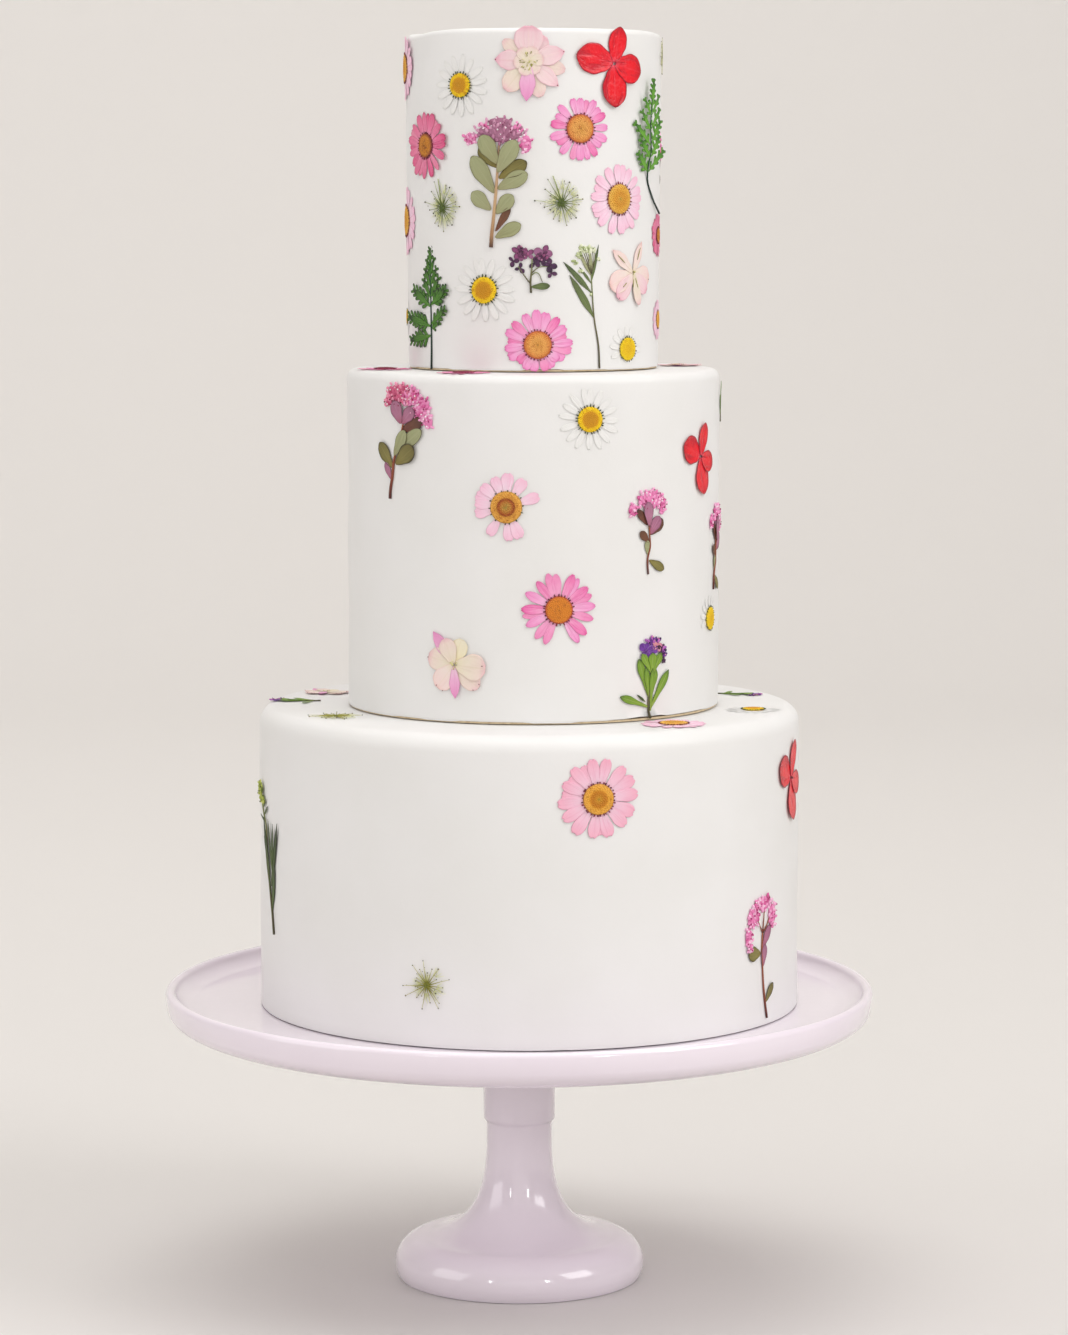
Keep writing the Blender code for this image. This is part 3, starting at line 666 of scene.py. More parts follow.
def modelDaisy(name):
    shape = daisyShapes[name]
    rng = random.Random(shape["seed"])
    radius = shape["size"] / 2
    headings = sorted(heading % 360 for heading in shape["headings"])
    petals = [(heading, 1.0, index % 2 + 1) for index, heading in enumerate(headings)]
    if not shape.get("gaps"):
        for first, second in zip(headings, headings[1:] + [headings[0] + 360]):
            if second - first > underGap:
                petals.append(((first + second) / 2 + rng.uniform(-2, 2), 0.92, 0))
    root = shape["discRadius"] * 0.72
    parts = []
    for index, (heading, share, layer) in enumerate(petals):
        form = shape["sheets"][index % len(shape["sheets"])]
        angle = math.radians(heading + rng.uniform(-2, 2))
        reach = radius * shape.get("reach", 1.0) * share * rng.uniform(0.95, 1.03)
        first, last, shorter = shape.get("cut", (0, 0, 1.0))
        if first < heading < last:
            reach *= shorter
        width = sheetShapes[form]["width"] * shape.get("wide", 1.0) * rng.uniform(0.9, 1.12)
        finish = shape["finishes"][index % len(shape["finishes"])]
        petal = laySheet(form, finish, headed(angle, root), headed(angle, reach), width,
                         0.03 + 0.12 * layer + 0.04 * rng.random(), rng.random(), rng.uniform(-2, 2))
        petal.data.transform(Matrix.Diagonal((1, 1, shape.get("flat", 0.6), 1)))
        parts.append(petal)
    parts.append(modelDisc(shape, rng))
    masters[name] = joinAll(parts, name)


for name in daisyShapes:
    modelDaisy(name)
print("daisies modelled:", len(daisyShapes))


# Larkspur blossoms and four-petalled red florets
# heart: finish, length and width of the small petals in the middle
# tips: heading and reach of the dark petal tips
# petals: heading, length, width, finish, layer, and the sheet where it isn't the usual one

blossomKeys = ("size", "seed", "stamens", "spread", "heart", "tips", "petals")
blossomShapes = rowsUnder(blossomKeys, {
    "larkspurA": (31.5, 5, 30, 3.8, ("cream", 6.5, 5.5), [(75, 15.2), (273, 14), (130, 15.8)],
        [(309, 14, 6, "cream", 0), (104, 16, 6.6, "cream", 0), (161, 16, 7.4, "cream", 0),
        (219, 15.8, 9, "cream", 1), (34, 12.5, 8, "blush", 0), (130, 16.4, 7.4, "blush", 1, "pointPetal"),
        (0, 14.8, 12.4, "blush", 2), (75, 15.7, 8.8, "blush", 2, "pointPetal"),
        (273, 14.4, 9, "blush", 2, "pointPetal"), (183, 16.8, 7, "lilac", 3, "pointPetal")]),
    "larkspurB": (28.5, 12, 16, 1.7, None, [(215, 12.2), (232, 12), (135, 13.6), (150, 13.4), (292, 12.4),
        (101, 12.4)], [(334, 16.4, 6, "lilac", 0, "pointPetal"), (141, 14.4, 8.4, "cream", 0),
        (29, 11.3, 7.6, "butter", 1), (295, 12.4, 9.6, "cream", 1), (228, 12.6, 9.8, "peach", 2),
        (348, 11.4, 7.8, "cream", 3), (106, 14, 11.4, "cream", 2), (187, 14, 5, "lilac", 3, "pointPetal")]),
    "larkspurC": (29.5, 19, 5, 0.9, None, [(231, 14.6), (113, 12.6)],
        [(318, 17, 6, "peach", 1, "pointPetal"), (33, 15.2, 5.4, "peach", 1, "pointPetal"),
        (259, 16, 10.4, "peach", 1), (233, 15.4, 8.4, "blush", 2), (111, 13.2, 9.8, "peach", 1),
        (139, 13.2, 8, "blush", 2), (175, 14.8, 5.4, "cream", 3)], {"streaks": [(318, 7, 14), (33, 6, 13),
        (165, 1.5, 8), (195, 2, 7), (240, 6, 10)]}),
    "redFloretA": (33.6, 7, 0, 0.5, None, [], [(11, 15.6, 9.8, "red", 1),
        (281, 18.6, 13.4, "red", 0), (103, 15.8, 12.8, "red", 2),
        (179, 18.2, 13.2, "red", 1)], {"sheet": "floretPetal"}),
    "redFloretB": (30, 9, 0, 0.5, None, [], [(20, 14.6, 8, "red", 1),
        (296, 15.2, 12.6, "red", 0), (114, 12.2, 9.4, "red", 2),
        (176, 16.4, 12.6, "red", 1)], {"sheet": "floretPetal"}),
})


petalRoot = 0.5           # how far from the middle the petals start, mm


def modelBlossom(name):
    shape = blossomShapes[name]
    rng = random.Random(shape["seed"])
    parts = []
    usual = shape.get("sheet", "shellPetal")
    for heading, length, width, finish, layer, *form in shape["petals"]:
        angle = math.radians(heading)
        sheet = form[0] if form else usual
        parts.append(laySheet(sheet, finish, headed(angle, petalRoot), headed(angle, length), width,
                              0.04 + 0.16 * layer, rng.random(), rng.uniform(-2, 2)))
    if shape["heart"]:
        finish, length, width = shape["heart"]
        for index in range(6):
            angle = index * math.pi / 3 + 0.4
            parts.append(laySheet("shellPetal", finish, (0, 0), headed(angle, length), width,
                                  0.62 + 0.05 * (index % 2), rng.random()))
    bead = modelBead("stamen" if shape["stamens"] else "darkSpeck")
    for index in range(max(6, shape["stamens"])):
        angle = rng.uniform(0, 2 * math.pi)
        parts.append(layBead(bead, *around(angle, shape["spread"] * math.sqrt(rng.random())), 0.9,
                             rng.uniform(0.35, 0.6), rng.uniform(0.5, 1.5), angle - math.pi / 2,
                             rng.random()))
    speck = modelBead("darkSpeck")
    for heading, length in shape["tips"]:
        angle = math.radians(heading)
        parts.append(layBead(speck, *headed(angle, length), 0.75, 0.45, 0.7, -angle, 0.3))
    streak = modelBead("stamen")
    for heading, near, far in shape.get("streaks", ()):
        angle = math.radians(heading)
        parts.append(layBead(streak, *headed(angle, (near + far) / 2), 0.72, 0.5, far - near, -angle, 0.8))
    masters[name] = joinAll(parts, name)


for name in blossomShapes:
    modelBlossom(name)
print("blossoms modelled:", len(blossomShapes))


# Green flower umbels: straight thin rays with dark tips, and paler threads between them

umbelShapes = {
    "umbelA": {"size": 24.0, "rays": 20, "threads": 84, "ray": "rayGreen", "seed": 4,
               "stalk": [(0, 0), (-0.6, 6), (-1.6, 12.4)]},
    "umbelB": {"size": 24.0, "rays": 22, "threads": 48, "ray": "rayGold", "seed": 11, "stalk": None},
}


def modelUmbel(name):
    shape = umbelShapes[name]
    rng = random.Random(shape["seed"])
    full = shape["size"] / 2
    ray = modelStem([(0, 0), (0.12, 3), (0, 6), (0.1, 10)], 0.52, shape["ray"], 0.65)
    thread = modelStem([(0, 0), (0.12, 1), (0, 2)], 0.34, "rayPale", 0.3, 0.2)
    dot = modelBead("rayTip")
    parts = []
    for index in range(shape["rays"]):
        angle = 2 * math.pi * (index + rng.uniform(-0.35, 0.35)) / shape["rays"]
        length = full * rng.choice((0.5, 0.7, 0.85, 1.0)) * rng.uniform(0.92, 1.0)
        lift = rng.uniform(0.1, 0.4)
        parts.append(copyOf(ray, placed(0, 0, lift * mm, -angle) @ Matrix.Diagonal((1, length / 10, 1, 1))))
        parts.append(layBead(dot, *headed(angle, length), lift + 0.3, rng.uniform(0.55, 0.85),
                             tone=rng.random()))
        near = length * rng.uniform(0.55, 0.9)
        side = rng.uniform(-0.14, 0.14)
        parts.append(layBead(dot, *headed(angle + side, near), 0.5, rng.uniform(0.3, 0.5), tone=rng.random()))
    for index in range(shape["threads"]):
        # pale threads stand in small tufts, like brushes
        tuft = index // 6
        angle = tuft * 2.4 + rng.uniform(-0.22, 0.22)
        start = full * (0.18 + 0.34 * ((tuft * 0.62) % 1.0) + rng.uniform(-0.04, 0.04))
        lift = rng.uniform(0, 0.3)
        lean = math.radians(rng.uniform(-38, 38))
        move = Matrix.Rotation(-angle, 4, "Z") @ placed(0, start * mm, lift * mm, lean)
        parts.append(copyOf(thread, move @ Matrix.Diagonal((1, full * rng.uniform(0.12, 0.2), 1, 1))))
    heart = modelBead(shape["ray"])
    for index in range(12):
        parts.append(layBead(heart, *around(index * 2.4, 0.42 * math.sqrt(index)), 0.5, 0.9, tone=0.1))
    if shape["stalk"]:
        parts.append(modelStem(shape["stalk"], 0.75, shape["ray"], 0.4, 0.5))
    masters[name] = joinAll(parts, name)
    for piece in (ray, thread):
        bpy.data.objects.remove(piece)


for name in umbelShapes:
    modelUmbel(name)
print("umbels modelled:", len(umbelShapes))


# Sprigs, foot at the origin, in millimetres
# stalks: points, thickness, finish
# leaves: foot, tip, width, layer, finish, and the sheet where it isn't the sprig's usual one
# heads: middle x and y, half width, half height, buds
# blooms: middle x and y, reach, finish, petals, first petal's heading

sprigShapes = {
    "stonecropSage": {
        "size": 54.5, "seed": 2, "floret": "mauveFloret", "root": (2.8, 38), "secondFloret": "pinkFloret",
        "stalks": [([(0, 0), (0.25, 5), (1, 12.8), (1.9, 24.4), (2.5, 35.1), (2.8, 42)], 1.7, "tanStem")],
        "leaves": [((1.9, 6.7), (7.9, 16.7), 3.4, 0, "maroon"), ((1.9, 4.1), (12.5, 9.8), 6, 0.1, "sage"),
            ((-0.3, 15.5), (-8.9, 22.5), 6.8, 0.15, "sage"), ((2, 14), (9, 21.7), 6.6, 0.2, "sage"),
            ((1.2, 22.5), (-9, 37.4), 7.8, 0.2, "sage"), ((2.6, 24.2), (14.9, 30.8), 7.2, 0.2, "sage"),
            ((3, 28.6), (14.5, 35.5), 6.8, 0.1, "olive"), ((2.2, 33), (-5.8, 41.4), 6.6, 0.05, "olive"),
            ((2.6, 31), (10.1, 44.2), 7.8, 0.85, "sage"), ((2.5, 34.6), (-4.8, 46), 7.8, 0.9, "sage")],
        "heads": [(2.8, 47.2, 12.2, 5, 74), (3, 51.6, 6.4, 2.4, 20)],
        "secondHeads": [(14, 42.8, 2.8, 4.6, 16), (-10, 44.6, 3.4, 3, 16), (-4, 50.4, 2.4, 1.6, 6),
            (10.4, 49.2, 2.6, 1.8, 7)]},
    "stonecropPlum": {
        "size": 47.7, "seed": 6, "floret": "roseFloret", "secondFloret": "pinkFloret", "root": (7, 32),
        "stalks": [([(0, 0), (0, 3.5), (0.8, 8.8), (1.2, 14.2), (1.9, 17.9), (3.7, 24.4), (5.3, 28.7),
            (5.7, 34)], 1.3, "woodyStem")],
        "leaves": [((0.4, 7.6), (-3.9, 14.2), 3.4, 0.1, "plum"), ((0.8, 12.6), (-8.2, 21.6), 6.6, 0.1,
            "olive"), ((3, 14.4), (12.4, 22), 8, 0.7, "olive"), ((3, 19.4), (15.6, 29.2), 6, 0.3, "sage"),
            ((1.8, 17.6), (7.4, 28.2), 5.6, 0.55, "sage"), ((5.6, 28), (15.5, 33), 6.2, 0.3, "maroon"),
            ((5, 30.8), (0.2, 39.4), 6.6, 0.75, "plum"), ((5.4, 30.8), (11, 37.6), 6, 0.7, "plum")],
        "heads": [(3.6, 42.6, 8.6, 4.4, 60), (-3.4, 39.8, 2.4, 3.4, 14)],
        "secondHeads": [(9.4, 42, 5, 4.4, 36), (14.8, 37.4, 5, 5.2, 44), (18.4, 32.6, 2.4, 3.2, 12)]},
    "stonecropSmall": {
        "size": 36.5, "seed": 10, "floret": "pinkFloret", "root": (0, 25),
        "stalks": [([(0, 0), (-0.3, 6.5), (1, 11.4), (0.8, 15.6), (0.3, 21), (-0.3, 26.4), (-0.6, 31)], 0.85,
            "woodyStem")],
        "leaves": [((0.6, 5.8), (8.6, 1.6), 4.2, 0.1, "olive"), ((0.2, 7.6), (-0.6, 14.2), 3.2, 0.1, "sage"),
            ((0.4, 13.4), (-4.2, 18), 3.8, 0.2, "maroon"), ((1, 16.6), (7.8, 22.8), 5.6, 0.1, "maroon"),
            ((0.8, 16.8), (6, 24), 5.4, 0.35, "plum"), ((-0.4, 20.6), (-5.6, 27.2), 3.6, 0.15, "maroon"),
            ((0.2, 20.2), (-0.6, 30.4), 4.8, 0.8, "plum")],
        "heads": [(1.4, 31.4, 7.6, 4.4, 58), (-7.8, 27.2, 2.4, 3.2, 14), (7.8, 28.4, 2.4, 4.2, 16)]},
    "stonecropTall": {
        "size": 51.7, "seed": 14, "floret": "pinkFloret", "root": (-3.3, 36),
        "stalks": [([(0, 0), (-1.5, 6.4), (-2.5, 11.8), (-3.1, 16.1), (-3.5, 22), (-4, 28), (-3.5, 36)],
            0.95, "woodyStem"), ([(-3.3, 36), (-5, 38.5), (-7, 41.5)], 0.6, "woodyStem"), ([(-3.3, 36),
            (-2.6, 40), (-1.8, 45.5)], 0.6, "woodyStem"), ([(-3.3, 36), (0, 38.6), (2.4, 41.5)], 0.6,
            "woodyStem")],
        "leaves": [((-1.2, 6.7), (5.5, 13.7), 4.2, 0.1, "olive"), ((-3.5, 21.6), (-1.6, 31), 4.8, 0.2,
            "plum"), ((-3.6, 29.6), (2.4, 38.4), 4.8, 0.25, "plum"), ((-5, 27.6), (-14, 28.6), 6.6, 0.1,
            "olive")],
        "heads": [(5, 42.3, 3.8, 6.4, 34), (-3, 48, 7.4, 3.4, 44), (-10.4, 43.2, 4.4, 5, 36),
            (-13.6, 35.4, 2.6, 5, 24), (-13.2, 30.6, 1.8, 1.8, 6)]},
    "violetSprig": {
        "size": 34.5, "seed": 18, "floret": "violetFloret", "root": (0.8, 25), "leaf": "spoonLeaf",
        "stalks": [([(0, 0), (-1, 3.2), (-1, 8.6), (0, 15.5), (0.7, 22)], 1.1, "greenStem")],
        "leaves": [((-1, 4.8), (-15.2, 9.9), 3.6, 0.1, "fresh"), ((-0.6, 3.6), (9.9, 19.6), 4, 0.1, "fresh"),
            ((-1.2, 9.6), (-6.3, 25.2), 4, 0.1, "fresh"), ((-2.6, 7), (-7.1, 10.4), 1.1, 0.2, "darkBlade",
            "bladeLeaf"), ((-0.7, 7.5), (-2.6, 21.4), 3.2, 0.3, "fresh"), ((0.2, 8.6), (2.8, 20.4), 3.2,
            0.25, "fresh"), ((-0.3, 3.2), (0.8, 20.8), 2.8, 0.4, "fresh"), ((0.6, 18.6), (-4.8, 27.4), 3.8,
            0.5, "fresh"), ((0.7, 18.6), (5.6, 27.2), 3.8, 0.5, "fresh"), ((0.7, 18.6), (0.8, 27.4), 5, 0.6,
            "fresh")],
        "blooms": [(-2.4, 28.4, 4.2, "violetPetal", 5, -60), (1.2, 31.6, 3, "violetPetal", 5, 0),
            (0.8, 27.6, 3.8, "violetPetal", 4, -20), (3.6, 30.6, 3, "coralPetal", 5, 20),
            (6, 29, 2.4, "inkPetal", 4, 30), (6.8, 26.2, 1.9, "inkPetal", 4, 70),
            (7.2, 23.8, 1.4, "inkPetal", 5, 0)],
        "heads": [(1.4, 32.6, 4.2, 1.3, 10), (7.6, 27.8, 1, 2.8, 6)]},
    "narrowSprig": {
        "size": 53, "seed": 22, "floret": "greenFloret", "root": (-4.3, 44), "leaf": "bladeLeaf",
        "stalks": [([(0, 0), (-0.5, 9.3), (-2.7, 21.7), (-3.6, 32.6), (-4.2, 41)], 0.85, "greenStem")] +
            [([(-4.2, 40), (-4.2 + side * 0.55, 45), (-5.4 + side, 51.4)], 0.55, "greenStem") for side in
            (-4.6, -3.2, -2, -0.8, 0.4, 1.8, 3)],
        "leaves": [((-2.7, 21.6), (-14, 39.6), 3.4, 0.1, "blade"), ((-3.9, 32), (-16.7, 45.2), 2.6, 0.1,
            "blade"), ((-4, 36.6), (-0.6, 52.4), 1.5, 0.1, "blade"), ((-4, 36), (-9.6, 43), 1.3, 0.2,
            "blade"), ((-4.4, 39.6), (-9.6, 48.6), 1.7, 0.3, "sage"), ((-4.3, 39.8), (-4.8, 50), 1.8, 0.35,
            "sage")],
        "heads": [(-6.4, 50.4, 4, 1.7, 24), (-9.8, 48.2, 1.2, 1.2, 5), (-11.6, 44.8, 0.8, 0.8, 2),
            (-0.4, 46.2, 0.7, 0.7, 2), (-4.9, 31.2, 0.5, 0.5, 1), (-9, 41, 0.8, 0.7, 2)]},
    "spikeSprig": {
        "size": 62.5, "seed": 26, "floret": "oliveBud", "root": (-6, 52), "leaf": "bladeLeaf",
        "stalks": [([(0, 0), (-0.4, 9.6), (-1.9, 24.1), (-2.4, 36), (-1.9, 42.8), (-4.7, 49.3), (-6.9, 56.2),
            (-8.1, 61)], 0.9, "greenStem")],
        "leaves": [((0, 9.9), (6.4, 27.6), 3.6, 0.1, "darkBlade"), ((-0.8, 16), (-3.3, 46.9), 3.4, 0.2,
            "darkBlade"), ((0.6, 19.4), (13.1, 43.7), 3.2, 0.1, "darkBlade"), ((3, 24.9), (2.4, 46), 2.4,
            0.3, "darkBlade"), ((3.6, 27.1), (7.9, 43.9), 2, 0.35, "darkBlade"), ((-1.9, 24.8), (-5.6, 39.6),
            1.5, 0.1, "darkBlade"), ((-4.2, 45.5), (-10.4, 49), 1.1, 0.1, "darkBlade"), ((-4.4, 48.2),
            (1.7, 51.4), 1.4, 0.1, "darkBlade"), ((-5.4, 51), (-0.4, 54.4), 1.4, 0.1, "darkBlade")],
        "heads": [(-8, 58.8, 3, 3.6, 26), (-5.4, 54.4, 2.6, 2, 12)]},
    "darkSprig": {
        "size": 20.3, "seed": 30, "floret": "darkFloret", "root": (0.4, 11),
        "stalks": [([(0, 0), (-0.2, 4.8), (0.3, 10.2), (0.5, 15)], 0.95, "greenStem"), ([(-0.2, 3.9),
            (-3, 7.6), (-5.6, 11.6)], 0.6, "greenStem"), ([(0.2, 7.6), (2.4, 8.8), (5, 4.6)], 0.55,
            "greenStem"), ([(0.3, 8.6), (3.4, 11), (7.4, 11.4)], 0.5, "greenStem")],
        "leaves": [((0, 2.6), (8.2, 3), 3.2, 0.2, "blade")],
        "blooms": [(-5, 17.4, 3.6, "plumPetal", 5, 10), (-1.4, 16.6, 3.3, "plumPetal", 4, 40),
            (-7.8, 13.8, 2.8, "inkPetal", 3, 80), (-4.8, 10.6, 2.6, "inkPetal", 3, 20),
            (5.4, 17.4, 4.2, "plumPetal", 4, 25), (4.4, 14.4, 3.6, "inkPetal", 4, 60),
            (8.2, 12, 3.4, "inkPetal", 4, 10), (8.8, 8.6, 2.8, "inkPetal", 3, 100),
            (1.6, 12.8, 2.8, "inkPetal", 3, 0)],
        "heads": [(-3.4, 17.6, 3.4, 2, 8), (4.8, 16.2, 2.4, 2.2, 6)]},
    "greenLeaf": {
        "size": 17, "seed": 34, "floret": "greenFloret", "root": (0, 6),
        "stalks": [([(0, 0), (0, 4), (0, 8)], 0.6, "greenStem")],
        "leaves": [((0, 3), (-5, 11), 3.2, 0, "fresh"), ((0, 3), (5, 11), 3, 0, "fresh"), ((0, 3.4), (0, 17),
            5, 0.2, "fresh")],
        "heads": []},
}


def modelHead(finish, root, patches, rng):
    # flattened cushions covered with buds that point away from the top of the stem, with dark dots and with
    # pale dots in the finish's lightest tone, which are painted highlights
    bud = modelBead(finish, 2)
    dot = modelBead(finish)
    parts = []
    for x, y, halfWidth, halfHeight, count in patches:
        if count > 10:
            cushion = layBead(bud, x, y, 0.05, halfWidth * 1.7, halfHeight * 1.7, 0.0, 0.5)
            for vert in cushion.data.vertices:
                vert.co.z = max(0.02 * mm, min(vert.co.z, 0.42 * mm))
            parts.append(cushion)
            count = round(count * 0.62)
        for index in range(count):
            share = math.sqrt((index + 0.5) / count)
            angle = index * math.pi * (3 - math.sqrt(5))
            budX = x + share * math.cos(angle) * halfWidth + rng.uniform(-0.3, 0.3)
            budY = y + share * math.sin(angle) * halfHeight + rng.uniform(-0.3, 0.3)
            heading = math.atan2(budX - root[0], budY - root[1])
            tone = rng.choice((0.14, 0.22, 0.32, 0.42, 0.55, 0.74)) + rng.uniform(-0.04, 0.04)
            parts.append(layBead(bud, budX, budY, rng.uniform(0.3, 0.6), rng.uniform(1.0, 1.5),
                                 rng.uniform(1.5, 2.5), -heading + rng.uniform(-0.5, 0.5), tone))
            # every second bud gets a dot: at tone 0.93 a dark mark of the flower, at tone 0 a pale painted
            # highlight
            if index % 2 == 0:
                parts.append(layBead(dot, budX + rng.uniform(-0.7, 0.7), budY + rng.uniform(-0.7, 0.7), 0.95,
                                     rng.uniform(0.5, 0.9), tone=0.0 if index % 4 else 0.93))
    return parts


def modelSprig(name):
    shape = sprigShapes[name]
    rng = random.Random(shape["seed"])
    parts = [modelStem(points, width, finish) for points, width, finish in shape["stalks"]]
    usual = shape.get("leaf", "ovalLeaf")
    for start, tip, width, layer, finish, *form in shape["leaves"]:
        parts.append(laySheet(form[0] if form else usual, finish, start, tip, width, 0.04 + layer,
                              rng.random(), rng.uniform(-2, 2)))
    parts += modelHead(shape["floret"], shape["root"], shape["heads"], rng)
    if "secondHeads" in shape:
        parts += modelHead(shape["secondFloret"], shape["root"], shape["secondHeads"], rng)
    for x, y, reach, finish, count, first in shape.get("blooms", ()):
        for index in range(count):
            angle = math.radians(first + index * 360 / count + rng.uniform(-14, 14))
            length = reach * rng.uniform(0.85, 1.1)
            across, up = headed(angle, length)
            parts.append(laySheet("floretPetal", finish, (x, y), (x + across, y + up),
                                  length * rng.uniform(0.62, 0.85), 0.3 + 0.05 * index, rng.random()))
    masters[name] = joinAll(parts, name)


for name in sprigShapes:
    modelSprig(name)
print("sprigs modelled:", len(sprigShapes))


# Fern fronds: leaflets with fingers along both sides, up a thin stem
# leaflets: foot, tip, width, fingers on each side

fernShapes = {
    "fernDark": {"size": 51, "finish": "frond", "seed": 1, "lobeWide": 0.36, "full": 0.92, "stem": [(0, 0),
        (0.2, 10), (0, 20), (-0.3, 32), (-0.7, 46)], "leaflets": [((0, 14.2), (-16, 11.8), 8.4, 5), ((0, 18),
        (-17.4, 22), 8.6, 6), ((0, 26.2), (-13.4, 33.6), 8.4, 5), ((0, 17), (5.6, 19.8), 4.4, 2), ((0, 18.8),
        (9.8, 25.6), 7, 4), ((0, 27), (10.4, 34), 8, 5), ((-0.2, 29.6), (-5.6, 38), 6.4, 3), ((-0.2, 30.2),
        (5.2, 38.6), 6.4, 3), ((-0.4, 34.6), (-4.2, 42.2), 5.6, 3), ((-0.4, 35), (3.6, 42.6), 5.6, 3),
        ((-0.5, 38.8), (-3.2, 46), 4.6, 2), ((-0.5, 39.2), (2, 46.4), 4.6, 2), ((-0.6, 42), (-0.8, 51), 5,
        4)]},
    "fernBright": {"size": 58.5, "finish": "brightFrond", "seed": 5, "lobeWide": 0.44, "full": 0.80,
        "stem": [(14.9, 0), (7.8, 7), (2.2, 18.4), (3, 30), (3.3, 38.6), (5, 50)], "leaflets": [((2.2, 18.6),
        (-5.2, 27.6), 7, 4), ((2.4, 18.6), (11, 27.6), 7, 4), ((2.6, 24), (-3.4, 33.4), 6, 4), ((2.8, 25),
        (8.8, 34), 6, 4), ((2.8, 30), (-6.4, 40.6), 6.4, 4), ((3.2, 31), (9.6, 40.4), 6.4, 4), ((3.3, 36),
        (-1.6, 45.2), 5.4, 3), ((3.5, 37), (9.6, 45.6), 5.4, 3), ((4.2, 42), (0.4, 50.2), 4.6, 3),
        ((4.4, 43), (9.6, 51.2), 4.6, 3), ((4.4, 45), (6.5, 58.5), 5.8, 5)]},
}


def modelFern(name):
    shape = fernShapes[name]
    rng = random.Random(shape["seed"])
    parts = [modelStem(shape["stem"], 0.85, "darkStem")]
    for index, (start, tip, fullWidth, fingers) in enumerate(shape["leaflets"]):
        layer = 0.05 + 0.07 * (index % 3)
        width = fullWidth * shape["full"]
        across, up = tip[0] - start[0], tip[1] - start[1]
        heading = math.atan2(across, up)
        inner = (start[0] + across * 0.93, start[1] + up * 0.93)
        parts.append(laySheet("ovalLeaf", shape["finish"], start, inner, width * 0.42, layer + 0.12,
                              rng.random()))
        for step in range(fingers):
            share = 0.16 + 0.70 * step / max(1, fingers - 1)
            foot = (start[0] + across * share, start[1] + up * share)
            reach = width * 0.66 * math.sin(math.pi * (0.36 + 0.46 * share)) * rng.uniform(0.88, 1.1)
            for side in (-1, 1):
                turn = heading + side * math.radians(52 - 22 * share + rng.uniform(-5, 5))
                end = (foot[0] + reach * math.sin(turn), foot[1] + reach * math.cos(turn))
                parts.append(laySheet("lobe", shape["finish"], foot, end, max(1.3, reach * shape["lobeWide"]),
                                      layer + 0.03 * (step % 2), rng.random()))
        parts.append(laySheet("lobe", shape["finish"], (start[0] + across * 0.78, start[1] + up * 0.78), tip,
                              max(1.4, width * 0.26), layer + 0.14, rng.random()))
    masters[name] = joinAll(parts, name)


for name in fernShapes:
    modelFern(name)
print("ferns modelled:", len(fernShapes))


# Where each flower lies. Side flowers: kind, azimuth, height of its middle or foot over the tier's base,
# size, turn, look. Flowers on the upper faces: kind, azimuth, radius, size, turn, look.

tierBoxes = {tier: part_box(tier + "_tier") for tier in ("bottom", "middle", "top")}
tierRadii = {"bottom": (114.3, 114.3), "middle": (78.3, 78.3), "top": (52.4, 53.4)}   # base and top, mm

